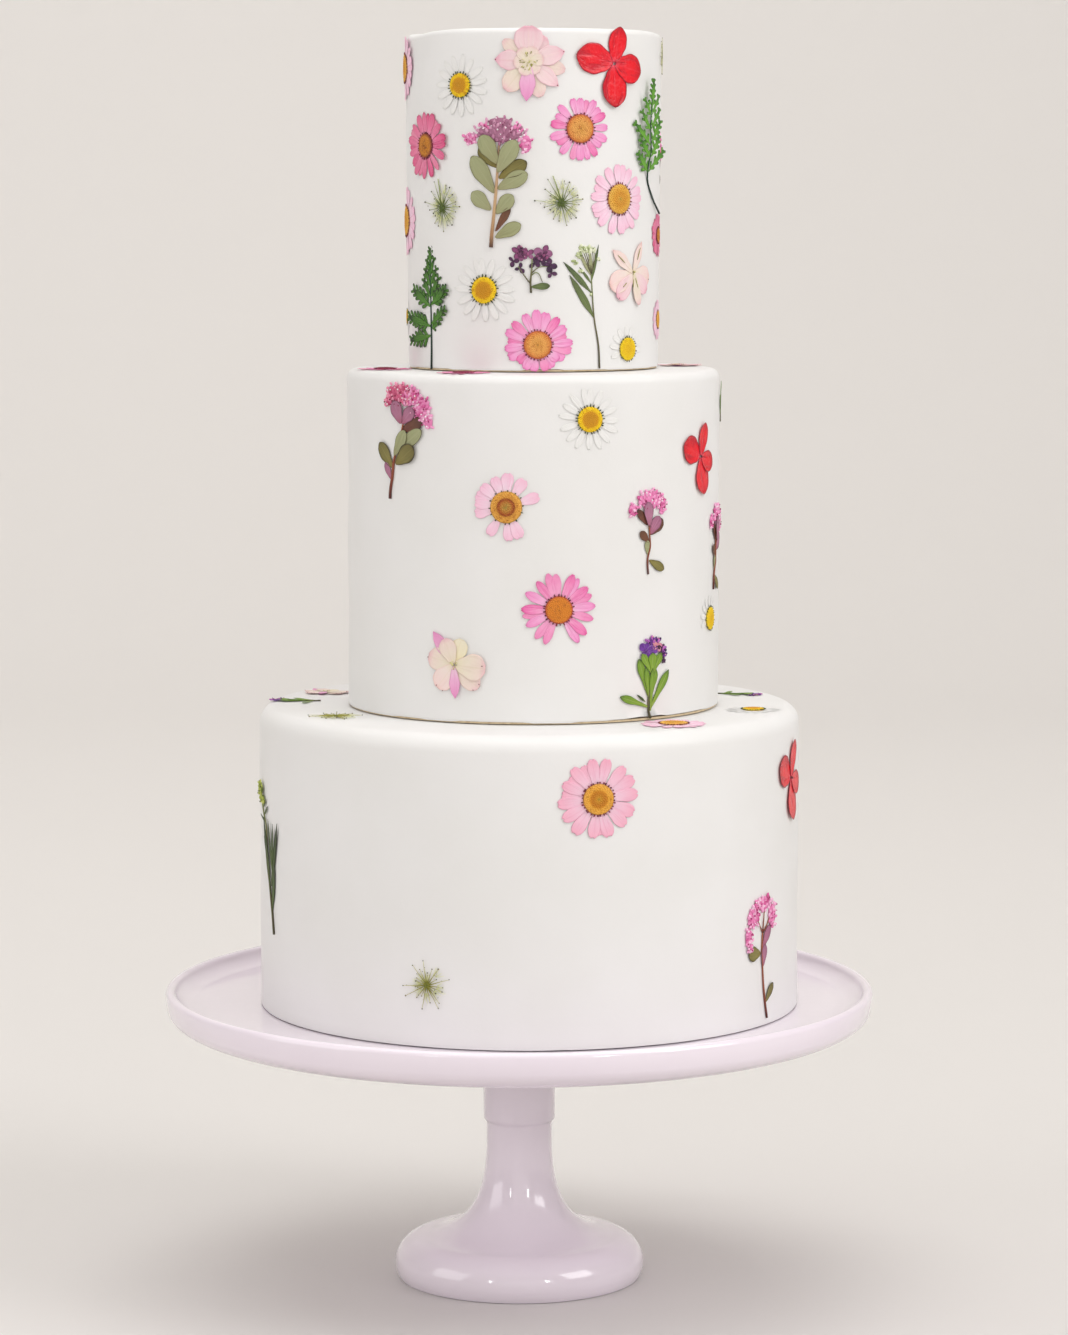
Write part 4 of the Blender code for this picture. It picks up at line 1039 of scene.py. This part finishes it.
sideFlowers = {
    "top": [("larkspur", -2, 124.5, 30.2, 0, "larkspurA"), ("red_floret", 38, 123.8, 32.5, 0, "redFloretA"),
        ("white_daisy", -34, 115, 22, 0, "whiteDaisyB"), ("pink_daisy", 21, 97.4, 26, 5, "pinkDaisyA"),
        ("rose_daisy", -56, 90.8, 28.5, 9, "roseDaisy"), ("stonecrop", -19, 49.4, 53.5, -1, "stonecropSage"),
        ("fern", 60, 62, 56, 4, "fernBright"), ("umbel", -44.5, 65.5, 23, 4, "umbelA"),
        ("umbel", 12.5, 67.5, 22, 11, "umbelA"), ("pale_daisy", 41.5, 69, 29, 3, "paleDaisyA"),
        ("pale_daisy", -82, 60, 29, 7, "paleDaisyA"), ("pink_daisy", -83, 123, 27, 2, "paleDaisyA"),
        ("umbel", 88, 128, 16, 6, "umbelB"), ("fern", -53, -0.9, 50, 0, "fernDark"),
        ("white_daisy", -22.4, 32, 23, 5, "whiteDaisyA"), ("dark_sprig", -1, 31, 19, 0, "darkSprig"),
        ("narrow_sprig", 31, 0, 51, 0, "narrowSprig"), ("larkspur", 51, 38.6, 27, 10, "larkspurC"),
        ("pink_daisy", 2, 9.8, 28.4, 0, "pinkDaisyC"), ("white_daisy", 47.6, 7.6, 20, 8, "whiteDaisyC"),
        ("rose_daisy", 78, 54, 19, 0, "roseDaisy"), ("pale_daisy", 80, 19, 17, 4, "paleDaisyA"),
        ("pink_daisy", 128, 96, 26, 6, "pinkDaisyA"), ("larkspur", 172, 70, 28, 0, "larkspurB"),
        ("stonecrop", -135, 40, 50, 5, "stonecropSage")],
    "middle": [("stonecrop", -48.2, 89, 48.6, -4, "stonecropPlum"),
        ("white_daisy", 17, 122.5, 22, 0, "whiteDaisyA"), ("pale_daisy", -8, 87.2, 27.6, 4, "paleDaisyB"),
        ("pink_daisy", 7.6, 45.6, 31, 10, "hotDaisy"), ("larkspur", -24.2, 22.7, 28, 10, "larkspurB"),
        ("red_floret", 61.5, 105.4, 29, 5, "redFloretB"),
        ("stonecrop", 36.6, 58.8, 35.6, 0, "stonecropSmall"),
        ("stonecrop", 73, 49, 37, -10, "stonecropSmall"), ("white_daisy", 69.6, 37.3, 20, 6, "whiteDaisyC"),
        ("purple_sprig", 37.6, -0.4, 33.8, 0, "violetSprig"), ("leaf", 87.5, 118, 17, 0, "greenLeaf"),
        ("pale_daisy", 150, 98, 29, 0, "paleDaisyA"), ("red_floret", -140, 65, 30, 16, "redFloretA")],
    "bottom": [("pale_daisy", 14, 101.5, 33, 6, "paleDaisyC"), ("red_floret", 72, 100, 33, 4, "redFloretB"),
        ("stonecrop", 59, 3, 52, 1, "stonecropTall"), ("narrow_sprig", -68, 35, 65, 10, "spikeSprig"),
        ("umbel", -21, 25.5, 21, 8, "umbelB"), ("pink_daisy", 165, 80, 32, 3, "pinkDaisyA"),
        ("fern", -150, 30, 56, -6, "fernDark")],
}

flatFlowers = {
    "middle": [("pink_daisy", -71.5, 64.8, 23.2, 0, "wineDaisy"),
        ("pink_daisy", -25.6, 65.2, 22.6, 9, "wineDaisy"), ("larkspur", 108, 64.5, 21, 0, "larkspurA")],
    "bottom": [("purple_sprig", -94, 89, 22, 84, "violetSprig"), ("umbel", -58, 94, 23, 0, "umbelB"),
        ("pale_daisy", 38.5, 94.5, 27.5, 5, "paleDaisyA"), ("white_daisy", 75, 97, 20, 0, "whiteDaisyB"),
        ("purple_sprig", 112, 87, 20, -100, "violetSprig"), ("larkspur", -113, 96, 22, 0, "larkspurB")],
}

# Further flowers round the back, of the same kinds
backFlowers = {
    "top": [("white_daisy", 106, 118, 21, 0, "whiteDaisyA"), ("pale_daisy", 158, 118, 27, 0, "paleDaisyB"),
        ("rose_daisy", -165, 112, 25, 0, "roseDaisy"), ("umbel", -138, 118, 22, 0, "umbelB"),
        ("white_daisy", -110, 104, 21, 0, "whiteDaisyB"), ("narrow_sprig", -112, 1, 50, 0, "narrowSprig"),
        ("white_daisy", -140, 18, 22, 0, "whiteDaisyA"), ("pink_daisy", -165, 40, 26, 0, "hotDaisy"),
        ("purple_sprig", 172, 4, 30, 0, "violetSprig"), ("umbel", 149, 40, 22, 0, "umbelA"),
        ("fern", 117, 5, 52, 0, "fernDark"), ("stonecrop", 100, 60, 38, 0, "stonecropSmall"),
        ("white_daisy", -88, 20, 14, 0, "whiteDaisyB")],
    "middle": [("umbel", 116, 116, 21, 0, "umbelA"), ("stonecrop", 112, 34, 46, 0, "stonecropPlum"),
        ("white_daisy", 138, 36, 22, 0, "whiteDaisyA"), ("larkspur", 172, 52, 28, 0, "larkspurA"),
        ("pink_daisy", -165, 106, 27, 0, "pinkDaisyA"), ("narrow_sprig", -160, 2, 50, 4, "narrowSprig"),
        ("white_daisy", -116, 112, 22, 0, "whiteDaisyB"), ("pink_daisy", -108, 48, 28, 0, "pinkDaisyB")],
    "bottom": [("white_daisy", 112, 42, 23, 0, "whiteDaisyA"),
        ("stonecrop", 134, 52, 52, 3, "stonecropTall"), ("umbel", 150, 26, 22, 0, "umbelB"),
        ("pale_daisy", -172, 34, 31, 0, "paleDaisyB"), ("larkspur", -112, 46, 28, 0, "larkspurB"),
        ("red_floret", -122, 98, 31, 0, "redFloretA"), ("pink_daisy", 104, 100, 30, 0, "hotDaisy")],
}
standOff = 0.05 * mm      # how far a flower's underside lies off the icing


flatShapes = {**daisyShapes, **blossomShapes, **umbelShapes, **sprigShapes, **fernShapes}


def flowerFrom(look, size, turn):
    # a copy of a flat flower at its own size and turn, about the origin
    scale = size / flatShapes[look]["size"]
    return copyOf(masters[look], Matrix.Rotation(math.radians(turn), 4, "Z") @ Matrix.Scale(scale, 4))


def layOnSide(flower, tier, azimuth, height, hold=1.0):
    # bends the flat flower round the tier and moves it to its place; a hold under 1 leaves it flatter
    low, high = tierBoxes[tier]
    baseRadius, topRadius = tierRadii[tier]
    share = height * mm / (high.z - low.z)
    radius = (baseRadius + (topRadius - baseRadius) * share) * mm + standOff
    flower.data.transform(Matrix.Rotation(math.radians(90), 4, "X"))
    width = max(v.co.x for v in flower.data.vertices) - min(v.co.x for v in flower.data.vertices)
    bend = flower.modifiers.new("wrap", "SIMPLE_DEFORM")
    bend.deform_method = "BEND"
    bend.deform_axis = "Z"
    bend.angle = hold * width / radius
    applyModifiers(flower)
    centre = Vector(((low.x + high.x) / 2, 0, low.z + height * mm))
    flower.data.transform(Matrix.Translation(centre) @ Matrix.Rotation(math.radians(azimuth), 4, "Z")
                          @ Matrix.Translation((0, -radius, 0)))


def turnOut(flower, degrees):
    # the upper part of a flat flower turns out about its left edge, while its foot stays on the icing
    xs = [v.co.x for v in flower.data.vertices]
    ys = [v.co.y for v in flower.data.vertices]
    hinge = Matrix.Translation((-min(xs), -min(ys) - 0.25 * (max(ys) - min(ys)), 0))
    flower.data.transform(hinge)
    twist = flower.modifiers.new("turnOut", "SIMPLE_DEFORM")
    twist.deform_method = "TWIST"
    twist.deform_axis = "Y"
    twist.limits = (0.25, 0.45)
    twist.angle = math.radians(degrees)
    applyModifiers(flower)
    flower.data.transform(hinge.inverted())


def layOnTop(flower, tier, azimuth, radius):
    low, high = tierBoxes[tier]
    across, back = headed(math.radians(azimuth), radius * mm)
    flower.data.transform(Matrix.Translation(((low.x + high.x) / 2 + across, -back, high.z + standOff)))


def finishFlower(flower, name):
    flower.name = name
    flower.data.name = name
    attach(flower, "root")


turnedOut = {"top_fern_01": -14}    # degrees
held = {"top_fern_02": {"hold": 0.25}, "top_fern_01": {"hold": 0.5}, "top_rose_daisy_01": {"hold": 0.5},
        "bottom_narrow_sprig_01": {"hold": 0.6}}
numbers = {}
for lay, layout in ((layOnSide, sideFlowers), (layOnTop, flatFlowers), (layOnSide, backFlowers)):
    for tier, flowers in layout.items():
        for kind, azimuth, place, size, turn, look in flowers:
            key = tier + "_" + kind
            numbers[key] = numbers.get(key, 0) + 1
            node = f"{key}_{numbers[key]:02d}"
            flower = flowerFrom(look, size, turn)
            if node in turnedOut:
                turnOut(flower, turnedOut[node])
            lay(flower, tier, azimuth, place, **held.get(node, {}))
            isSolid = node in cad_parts
            finishFlower(flower, node + ("_petals" if isSolid else "_pressed"))
            if isSolid:
                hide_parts(node)
    print("flowers laid:", sum(numbers.values()))

for piece in list(masters.values()) + scraps:
    if piece.name in bpy.data.objects:
        bpy.data.objects.remove(piece)


# The iced tiers: a profile drawn point by point, spun round the axis and made gently uneven

icingValues = {
    "edge": {"bottom": 7.0, "middle": 4.2, "top": 2.4},   # rounding of the upper edge, mm
    "rows": 26, "segments": 128,
    "colour": "f0efee", "shade": "edecea", "roughness": 0.46,
    # soft sinks: azimuth, share of the height, move in mm
    "dents": {"top": [(-78, 1.0, (0.7, 0, -1.4)), (-62, 0.98, (0.3, 0.2, -0.6)), (84, 0.97, (-0.3, 0, -0.5))],
              "middle": [(-84, 0.68, (0.5, 0, 0)), (-86, 0.3, (0.4, 0, 0)), (86, 0.45, (-0.4, 0, 0))],
              "bottom": [(-86, 0.55, (0.4, 0, 0)), (-82, 0.98, (0.3, 0, -0.5)), (86, 0.3, (-0.4, 0, 0))]},
    "uneven": 0.20, "unevenSize": 0.035,                  # how deep and how wide the unevenness is
    "lip": 0.80,                                          # how far the icing hangs over the cards, mm
    "foot": 0.45,                                         # rounding at the foot, mm
    "cuts": 14,                                           # places where the lower edge rises
    "footLift": 1.0,                                      # how far the lower edge rises here and there, mm
}


def icingFinish():
    material, tree, shader = newFinish("rolledIcing", icingValues["roughness"])
    cloud = useGrain(tree, 22.0, 2.0)
    fine = useGrain(tree, 650.0)
    spread = addRange(tree, cloud, 0.35, 0.65, smooth=False)
    colour = mixColours(tree, spread, paint(icingValues["colour"]), paint(icingValues["shade"]))
    tree.links.new(colour, shader.inputs["Base Color"])
    rough = addMath(tree, "MULTIPLY_ADD", fine, 0.12, icingValues["roughness"] - 0.06)
    tree.links.new(rough, shader.inputs["Roughness"])
    addBump(tree, shader, addMath(tree, "MULTIPLY_ADD", cloud, 3.0, fine), 0.00006, 0.6)
    return material


def spinProfile(name, points, segments):
    # draws (radius, height) points in the XZ plane and spins them about Z
    selectOnly(None)
    bpy.ops.mesh.primitive_circle_add(vertices=3, radius=0.001)
    piece = bpy.context.object
    piece.name = name
    startEdit(piece)
    pickVerts(piece, lambda vert: vert.index > 0)
    bpy.ops.mesh.delete(type="VERT")
    bpy.ops.mesh.select_all(action="SELECT")
    mesh = bmesh.from_edit_mesh(piece.data)
    mesh.verts.ensure_lookup_table()
    here = mesh.verts[0].co.copy()
    for index, (radius, height) in enumerate(points):
        place = Vector((radius, 0, height))
        if index:
            bpy.ops.mesh.extrude_region_move(TRANSFORM_OT_translate={"value": place - here})
        else:
            bpy.ops.transform.translate(value=place - here)
        here = place
    bpy.ops.mesh.select_all(action="SELECT")
    bpy.ops.mesh.spin(steps=segments, angle=2 * math.pi, center=(0, 0, 0), axis=(0, 0, 1))
    bpy.ops.mesh.select_all(action="SELECT")
    bpy.ops.mesh.remove_doubles(threshold=0.00001)
    bpy.ops.mesh.normals_make_consistent(inside=False)
    endEdit()
    return piece


def arcPoints(centre, radius, start, end, steps):
    points = []
    for step in range(steps + 1):
        across, up = around(math.radians(start + (end - start) * step / steps), radius)
        points.append((centre[0] + across, centre[1] + up))
    return points


def apart(vert, angle):
    # how far round the tier a point lies from an angle
    return abs((math.atan2(vert.co.y, vert.co.x) - angle + math.pi) % (2 * math.pi) - math.pi)


def makeTier(tier, finish):
    low, high = tierBoxes[tier]
    baseRadius, topRadius = (value * mm for value in tierRadii[tier])
    edge = icingValues["edge"][tier] * mm
    rows = icingValues["rows"]
    foot = icingValues["foot"] * mm
    base, top = low.z, high.z
    points = [(0, base), (baseRadius * 0.5, base), (baseRadius - 4 * foot, base)]
    if tier == "bottom":
        points.append((baseRadius - foot, base))
        points += arcPoints((baseRadius - foot, base + foot), foot, -60, 0, 2)
    else:
        lip = icingValues["lip"] * mm
        points += [(baseRadius - 0.5 * mm, base), (baseRadius - 0.5 * mm, base - 0.9 * lip),
                   (baseRadius - 0.2 * mm, base - lip), (baseRadius, base - 0.75 * lip),
                   (baseRadius, base + foot)]
    wallStart, wallEnd = base + foot, top - edge
    for row in range(1, rows):
        share = row / rows
        points.append((baseRadius + (topRadius - baseRadius) * share,
                       wallStart + (wallEnd - wallStart) * share))
    points += arcPoints((topRadius - edge, top - edge), edge, 0, 90, 8)
    for share in (0.85, 0.7, 0.5, 0.3, 0.15, 0.0):
        points.append(((topRadius - edge) * share, top))
    piece = spinProfile(tier + "_icing", points, icingValues["segments"])
    cloud = bpy.data.textures.new(tier + "Uneven", "CLOUDS")
    cloud.noise_scale = icingValues["unevenSize"]
    cloud.noise_depth = 1
    uneven = piece.modifiers.new("uneven", "DISPLACE")
    uneven.texture = cloud
    uneven.texture_coords = "LOCAL"
    uneven.strength = icingValues["uneven"] * mm
    uneven.mid_level = 1.0
    applyModifiers(piece)
    startEdit(piece)
    rng = random.Random(tier)
    for _ in range(icingValues["cuts"]):
        # the icing's lower edge is cut by hand, so it rises a little in places
        middle = rng.uniform(0, 2 * math.pi)
        spread = rng.uniform(0.08, 0.35)
        pickVerts(piece, lambda vert: vert.co.z < base + 0.3 * foot
                  and vert.co.xy.length > baseRadius - 0.9 * mm and apart(vert, middle) < spread)
        bpy.ops.transform.translate(value=(0, 0, icingValues["footLift"] * mm * rng.uniform(0.15, 0.45)))
    for azimuth, share, move in icingValues["dents"].get(tier, ()):
        # soft sinks in the icing, made by pulling one place and what lies round it
        angle = math.radians(azimuth)
        height = base + (top - base) * share
        wide = topRadius if share > 0.9 else (baseRadius + topRadius) / 2
        place = Vector((wide * math.sin(angle), -wide * math.cos(angle), height))
        nearest = min(piece.data.vertices, key=lambda vert: (vert.co - place).length).index
        pickVerts(piece, lambda vert: vert.index == nearest)
        bpy.ops.transform.translate(value=[step * mm for step in move], use_proportional_edit=True,
                                    proportional_edit_falloff="SMOOTH", proportional_size=0.028)
    endEdit()
    bpy.ops.object.shade_smooth()
    piece.data.transform(Matrix.Translation(((low.x + high.x) / 2, 0, 0)))
    piece.data.materials.append(finish)
    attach(piece, "root")
    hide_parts(tier + "_tier")


icing = icingFinish()
for tier in tierBoxes:
    makeTier(tier, icing)
print("tiers iced")


# Card edges under the upper tiers keep their solids and get a finer finish

def cardFinish():
    material, tree, shader = newFinish("cakeCard", 0.75)
    grain = useGrain(tree, 420.0, 4.0)
    tree.links.new(addRamp(tree, grain, "0.3 cdb591, 0.7 e8d6b4"), shader.inputs["Base Color"])
    addBump(tree, shader, grain, 0.0001)
    return material


card = cardFinish()
for tier in ("middle", "top"):
    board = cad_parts[tier + "_board"]
    board.data.materials.clear()
    board.data.materials.append(card)


# The glazed stand

standValues = {
    "footRadius": 53.4, "shoulderRadius": 40.4, "beadHeight": 6.0, "shoulderHeight": 17.8,
    "columnRadius": 14.0, "columnHeight": 58.0, "collarRadius": 15.3, "collarBottom": 66.0, "collarTop": 80.0,
    "plateRadius": 150.0, "plateSurface": 119.6, "flatRadius": 138.5,
    "undersideRadius": 131.0, "undersideHeight": 109.0, "rimHeight": 126.2, "rimThickness": 4.4,
    "segments": 144, "colour": "f9f0f8", "deep": "f1e5f1", "roughness": 0.10,
}


def smoothCurve(start, first, second, end, steps):
    points = []
    for step in range(1, steps + 1):
        t = step / steps
        weights = ((1 - t) ** 3, 3 * t * (1 - t) ** 2, 3 * t * t * (1 - t), t ** 3)
        knots = tuple(zip(weights, (start, first, second, end)))
        points.append(tuple(sum(weight * knot[k] for weight, knot in knots) for k in (0, 1)))
    return points


def glazeFinish():
    material, tree, shader = newFinish("pinkGlaze", standValues["roughness"])
    cloud = useGrain(tree, 14.0, 2.0)
    fine = useGrain(tree, 260.0, 2.0)
    colour = mixColours(tree, cloud, paint(standValues["colour"]), paint(standValues["deep"]))
    tree.links.new(colour, shader.inputs["Base Color"])
    shader.inputs["Coat Weight"].default_value = 0.6
    shader.inputs["Coat Roughness"].default_value = 0.03
    rough = addMath(tree, "MULTIPLY_ADD", fine, 0.08, standValues["roughness"])
    tree.links.new(rough, shader.inputs["Roughness"])
    addBump(tree, shader, cloud, 0.0006, 0.25)
    return material


def makeStand():
    v = {key: value * mm for key, value in standValues.items()
         if isinstance(value, float) and key != "roughness"}
    footWide = v["footRadius"] - v["shoulderRadius"]
    rise = v["shoulderHeight"] - v["beadHeight"]
    drop = v["beadHeight"] / math.sin(math.radians(29))
    points = [(0, 0), (v["shoulderRadius"] * 0.6, 0)]
    for angle in range(-29, 1, 5):
        turn = math.radians(angle)
        points.append((v["shoulderRadius"] + footWide * math.cos(turn),
                       max(0.0, v["beadHeight"] + drop * math.sin(turn))))
    for angle in range(9, 91, 9):
        turn = math.radians(angle)
        points.append((v["shoulderRadius"] + footWide * math.cos(turn),
                       v["beadHeight"] + rise * math.sin(turn)))
    shoulder = points[-1]
    points += smoothCurve(shoulder, (shoulder[0] - 13.4 * mm, shoulder[1] + 2.7 * mm),
                          (v["columnRadius"], shoulder[1] + 9.2 * mm),
                          (v["columnRadius"], v["columnHeight"]), 16)
    collarFoot = (v["columnRadius"], v["collarBottom"])
    collarFull = (v["collarRadius"], v["collarBottom"] + 3.0 * mm)
    points.append(collarFoot)
    points += smoothCurve(collarFoot, (collarFoot[0], collarFoot[1] + 1.6 * mm),
                          (collarFull[0], collarFull[1] - 1.6 * mm), collarFull, 5)
    points += [(v["collarRadius"], v["collarBottom"] + 8 * mm), (v["collarRadius"], v["collarTop"])]
    flareEnd = (46.0 * mm, v["undersideHeight"] - 3.5 * mm)
    points += smoothCurve(points[-1], (v["collarRadius"] + 0.6 * mm, 95.0 * mm),
                          (24.0 * mm, 103.5 * mm), flareEnd, 8)
    underside = (v["undersideRadius"], v["undersideHeight"])
    points += [(90.0 * mm, (flareEnd[1] + underside[1]) / 2), underside]
    points += smoothCurve(underside, (142.0 * mm, underside[1] + 0.8 * mm), (148.8 * mm, 113.0 * mm),
                          (v["plateRadius"], 117.5 * mm), 8)
    half = v["rimThickness"] / 2
    rim = (v["plateRadius"] + 0.6 * mm - half, v["rimHeight"] - half)
    points += arcPoints(rim, half, 0, 180, 9)
    points += smoothCurve(points[-1], (points[-1][0] - 0.6 * mm, v["plateSurface"] + 2.5 * mm),
                          (v["flatRadius"] + 3.5 * mm, v["plateSurface"]),
                          (v["flatRadius"], v["plateSurface"]), 7)
    points += [(v["flatRadius"] * share, v["plateSurface"]) for share in (0.9, 0.6, 0.3, 0.0)]
    stand = spinProfile("stand_glazed", points, standValues["segments"])
    selectOnly(stand)
    bpy.ops.object.shade_smooth_by_angle(angle=math.radians(50))
    stand.data.materials.append(glazeFinish())
    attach(stand, "root")
    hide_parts("cake_stand")


makeStand()
print("stand made")


# Table, backdrop, lights and camera

stageValues = {"colour": "ebe8e5", "tableBack": 3.2, "wallHeight": 4.0, "halfWidth": 4.5}


def makeStage():
    selectOnly(None)
    bpy.ops.mesh.primitive_plane_add(size=2)
    floor = bpy.context.object
    floor.name = "paper_floor"
    startEdit(floor, everything=True)
    bpy.ops.transform.resize(value=(stageValues["halfWidth"], stageValues["tableBack"], 1),
                             center_override=(0, 0, 0))
    bpy.ops.mesh.select_mode(type="EDGE")
    mesh = bmesh.from_edit_mesh(floor.data)
    for edge in mesh.edges:
        edge.select = all(vert.co.y > 1 for vert in edge.verts)
    bmesh.update_edit_mesh(floor.data)
    bpy.ops.mesh.extrude_region_move(TRANSFORM_OT_translate={"value": (0, 0, stageValues["wallHeight"])})
    mesh = bmesh.from_edit_mesh(floor.data)
    for edge in mesh.edges:
        edge.select = all(vert.co.y > 1 and vert.co.z < 0.1 for vert in edge.verts)
    bmesh.update_edit_mesh(floor.data)
    bpy.ops.mesh.bevel(offset=1.2, segments=16)
    endEdit()
    bpy.ops.object.shade_smooth()
    floor.location = (0, 0, -0.0002)
    material, tree, shader = newFinish("paperFloor", 0.7)
    shader.inputs["Base Color"].default_value = paint(stageValues["colour"])
    floor.data.materials.append(material)


lightValues = {
    "key": {"place": (2.2, -1.2, 1.85), "aim": (0, 0, 0.28), "size": (1.4, 1.8), "power": 33,
            "colour": (1.0, 1.0, 0.995)},
    "fill": {"place": (-2.6, -0.9, 1.2), "aim": (0, 0, 0.28), "size": (1.8, 1.8), "power": 18.5,
             "colour": (0.99, 0.995, 1.0)},
    "over": {"place": (0.1, -0.35, 2.3), "aim": (0, 0, 0.28), "size": (2.4, 2.4), "power": 25.5,
             "colour": (1.0, 1.0, 1.0)},
    "backdrop": {"place": (-0.6, 1.3, 2.6), "aim": (-0.6, 2.9, 0.3), "size": (3.0, 1.0), "power": 20,
                 "colour": (1.0, 0.985, 0.965)},
    "front": {"place": (0.4, -2.7, 0.8), "aim": (0, 0, 0.2), "size": (2.6, 1.4), "power": 4,
              "colour": (1.0, 0.99, 0.985)},
    "windowRight": {"place": (0.75, -1.5, 0.62), "aim": (0, 0, 0.28), "size": (0.10, 0.28), "power": 1.6,
                    "colour": (1, 1, 1)},
    "windowLeft": {"place": (-0.75, -1.5, 0.62), "aim": (0, 0, 0.28), "size": (0.06, 0.28), "power": 1.0,
                   "colour": (1, 1, 1)},
}
roomValues = {"colour": "f4f4f5", "strength": 0.89}


def makeLights():
    for name, values in lightValues.items():
        data = bpy.data.lights.new(name, "AREA")
        data.shape = "RECTANGLE"
        data.size, data.size_y = values["size"]
        data.energy = values["power"]
        data.color = values["colour"]
        lamp = bpy.data.objects.new(name, data)
        bpy.context.scene.collection.objects.link(lamp)
        lamp.location = values["place"]
        aim = Vector(values["aim"]) - lamp.location
        lamp.rotation_euler = aim.to_track_quat("-Z", "Y").to_euler()
    world = bpy.data.worlds.new("softRoom")
    world.use_nodes = True
    world.node_tree.nodes["Background"].inputs[0].default_value = paint(roomValues["colour"])
    world.node_tree.nodes["Background"].inputs[1].default_value = roomValues["strength"]
    bpy.context.scene.world = world


cameraValues = {"place": (0.0063, -1.790, 0.459), "down": 6.28, "lens": 114.63}


def makeCamera():
    data = bpy.data.cameras.new("camera")
    data.sensor_width = 36.0
    data.lens = cameraValues["lens"]
    camera = bpy.data.objects.new("camera", data)
    bpy.context.scene.collection.objects.link(camera)
    camera.location = cameraValues["place"]
    camera.rotation_euler = (math.radians(90 - cameraValues["down"]), 0, 0)
    bpy.context.scene.camera = camera
    bpy.context.scene.view_settings.view_transform = "Standard"


makeStage()
makeLights()
makeCamera()
print("stage, lights and camera set")
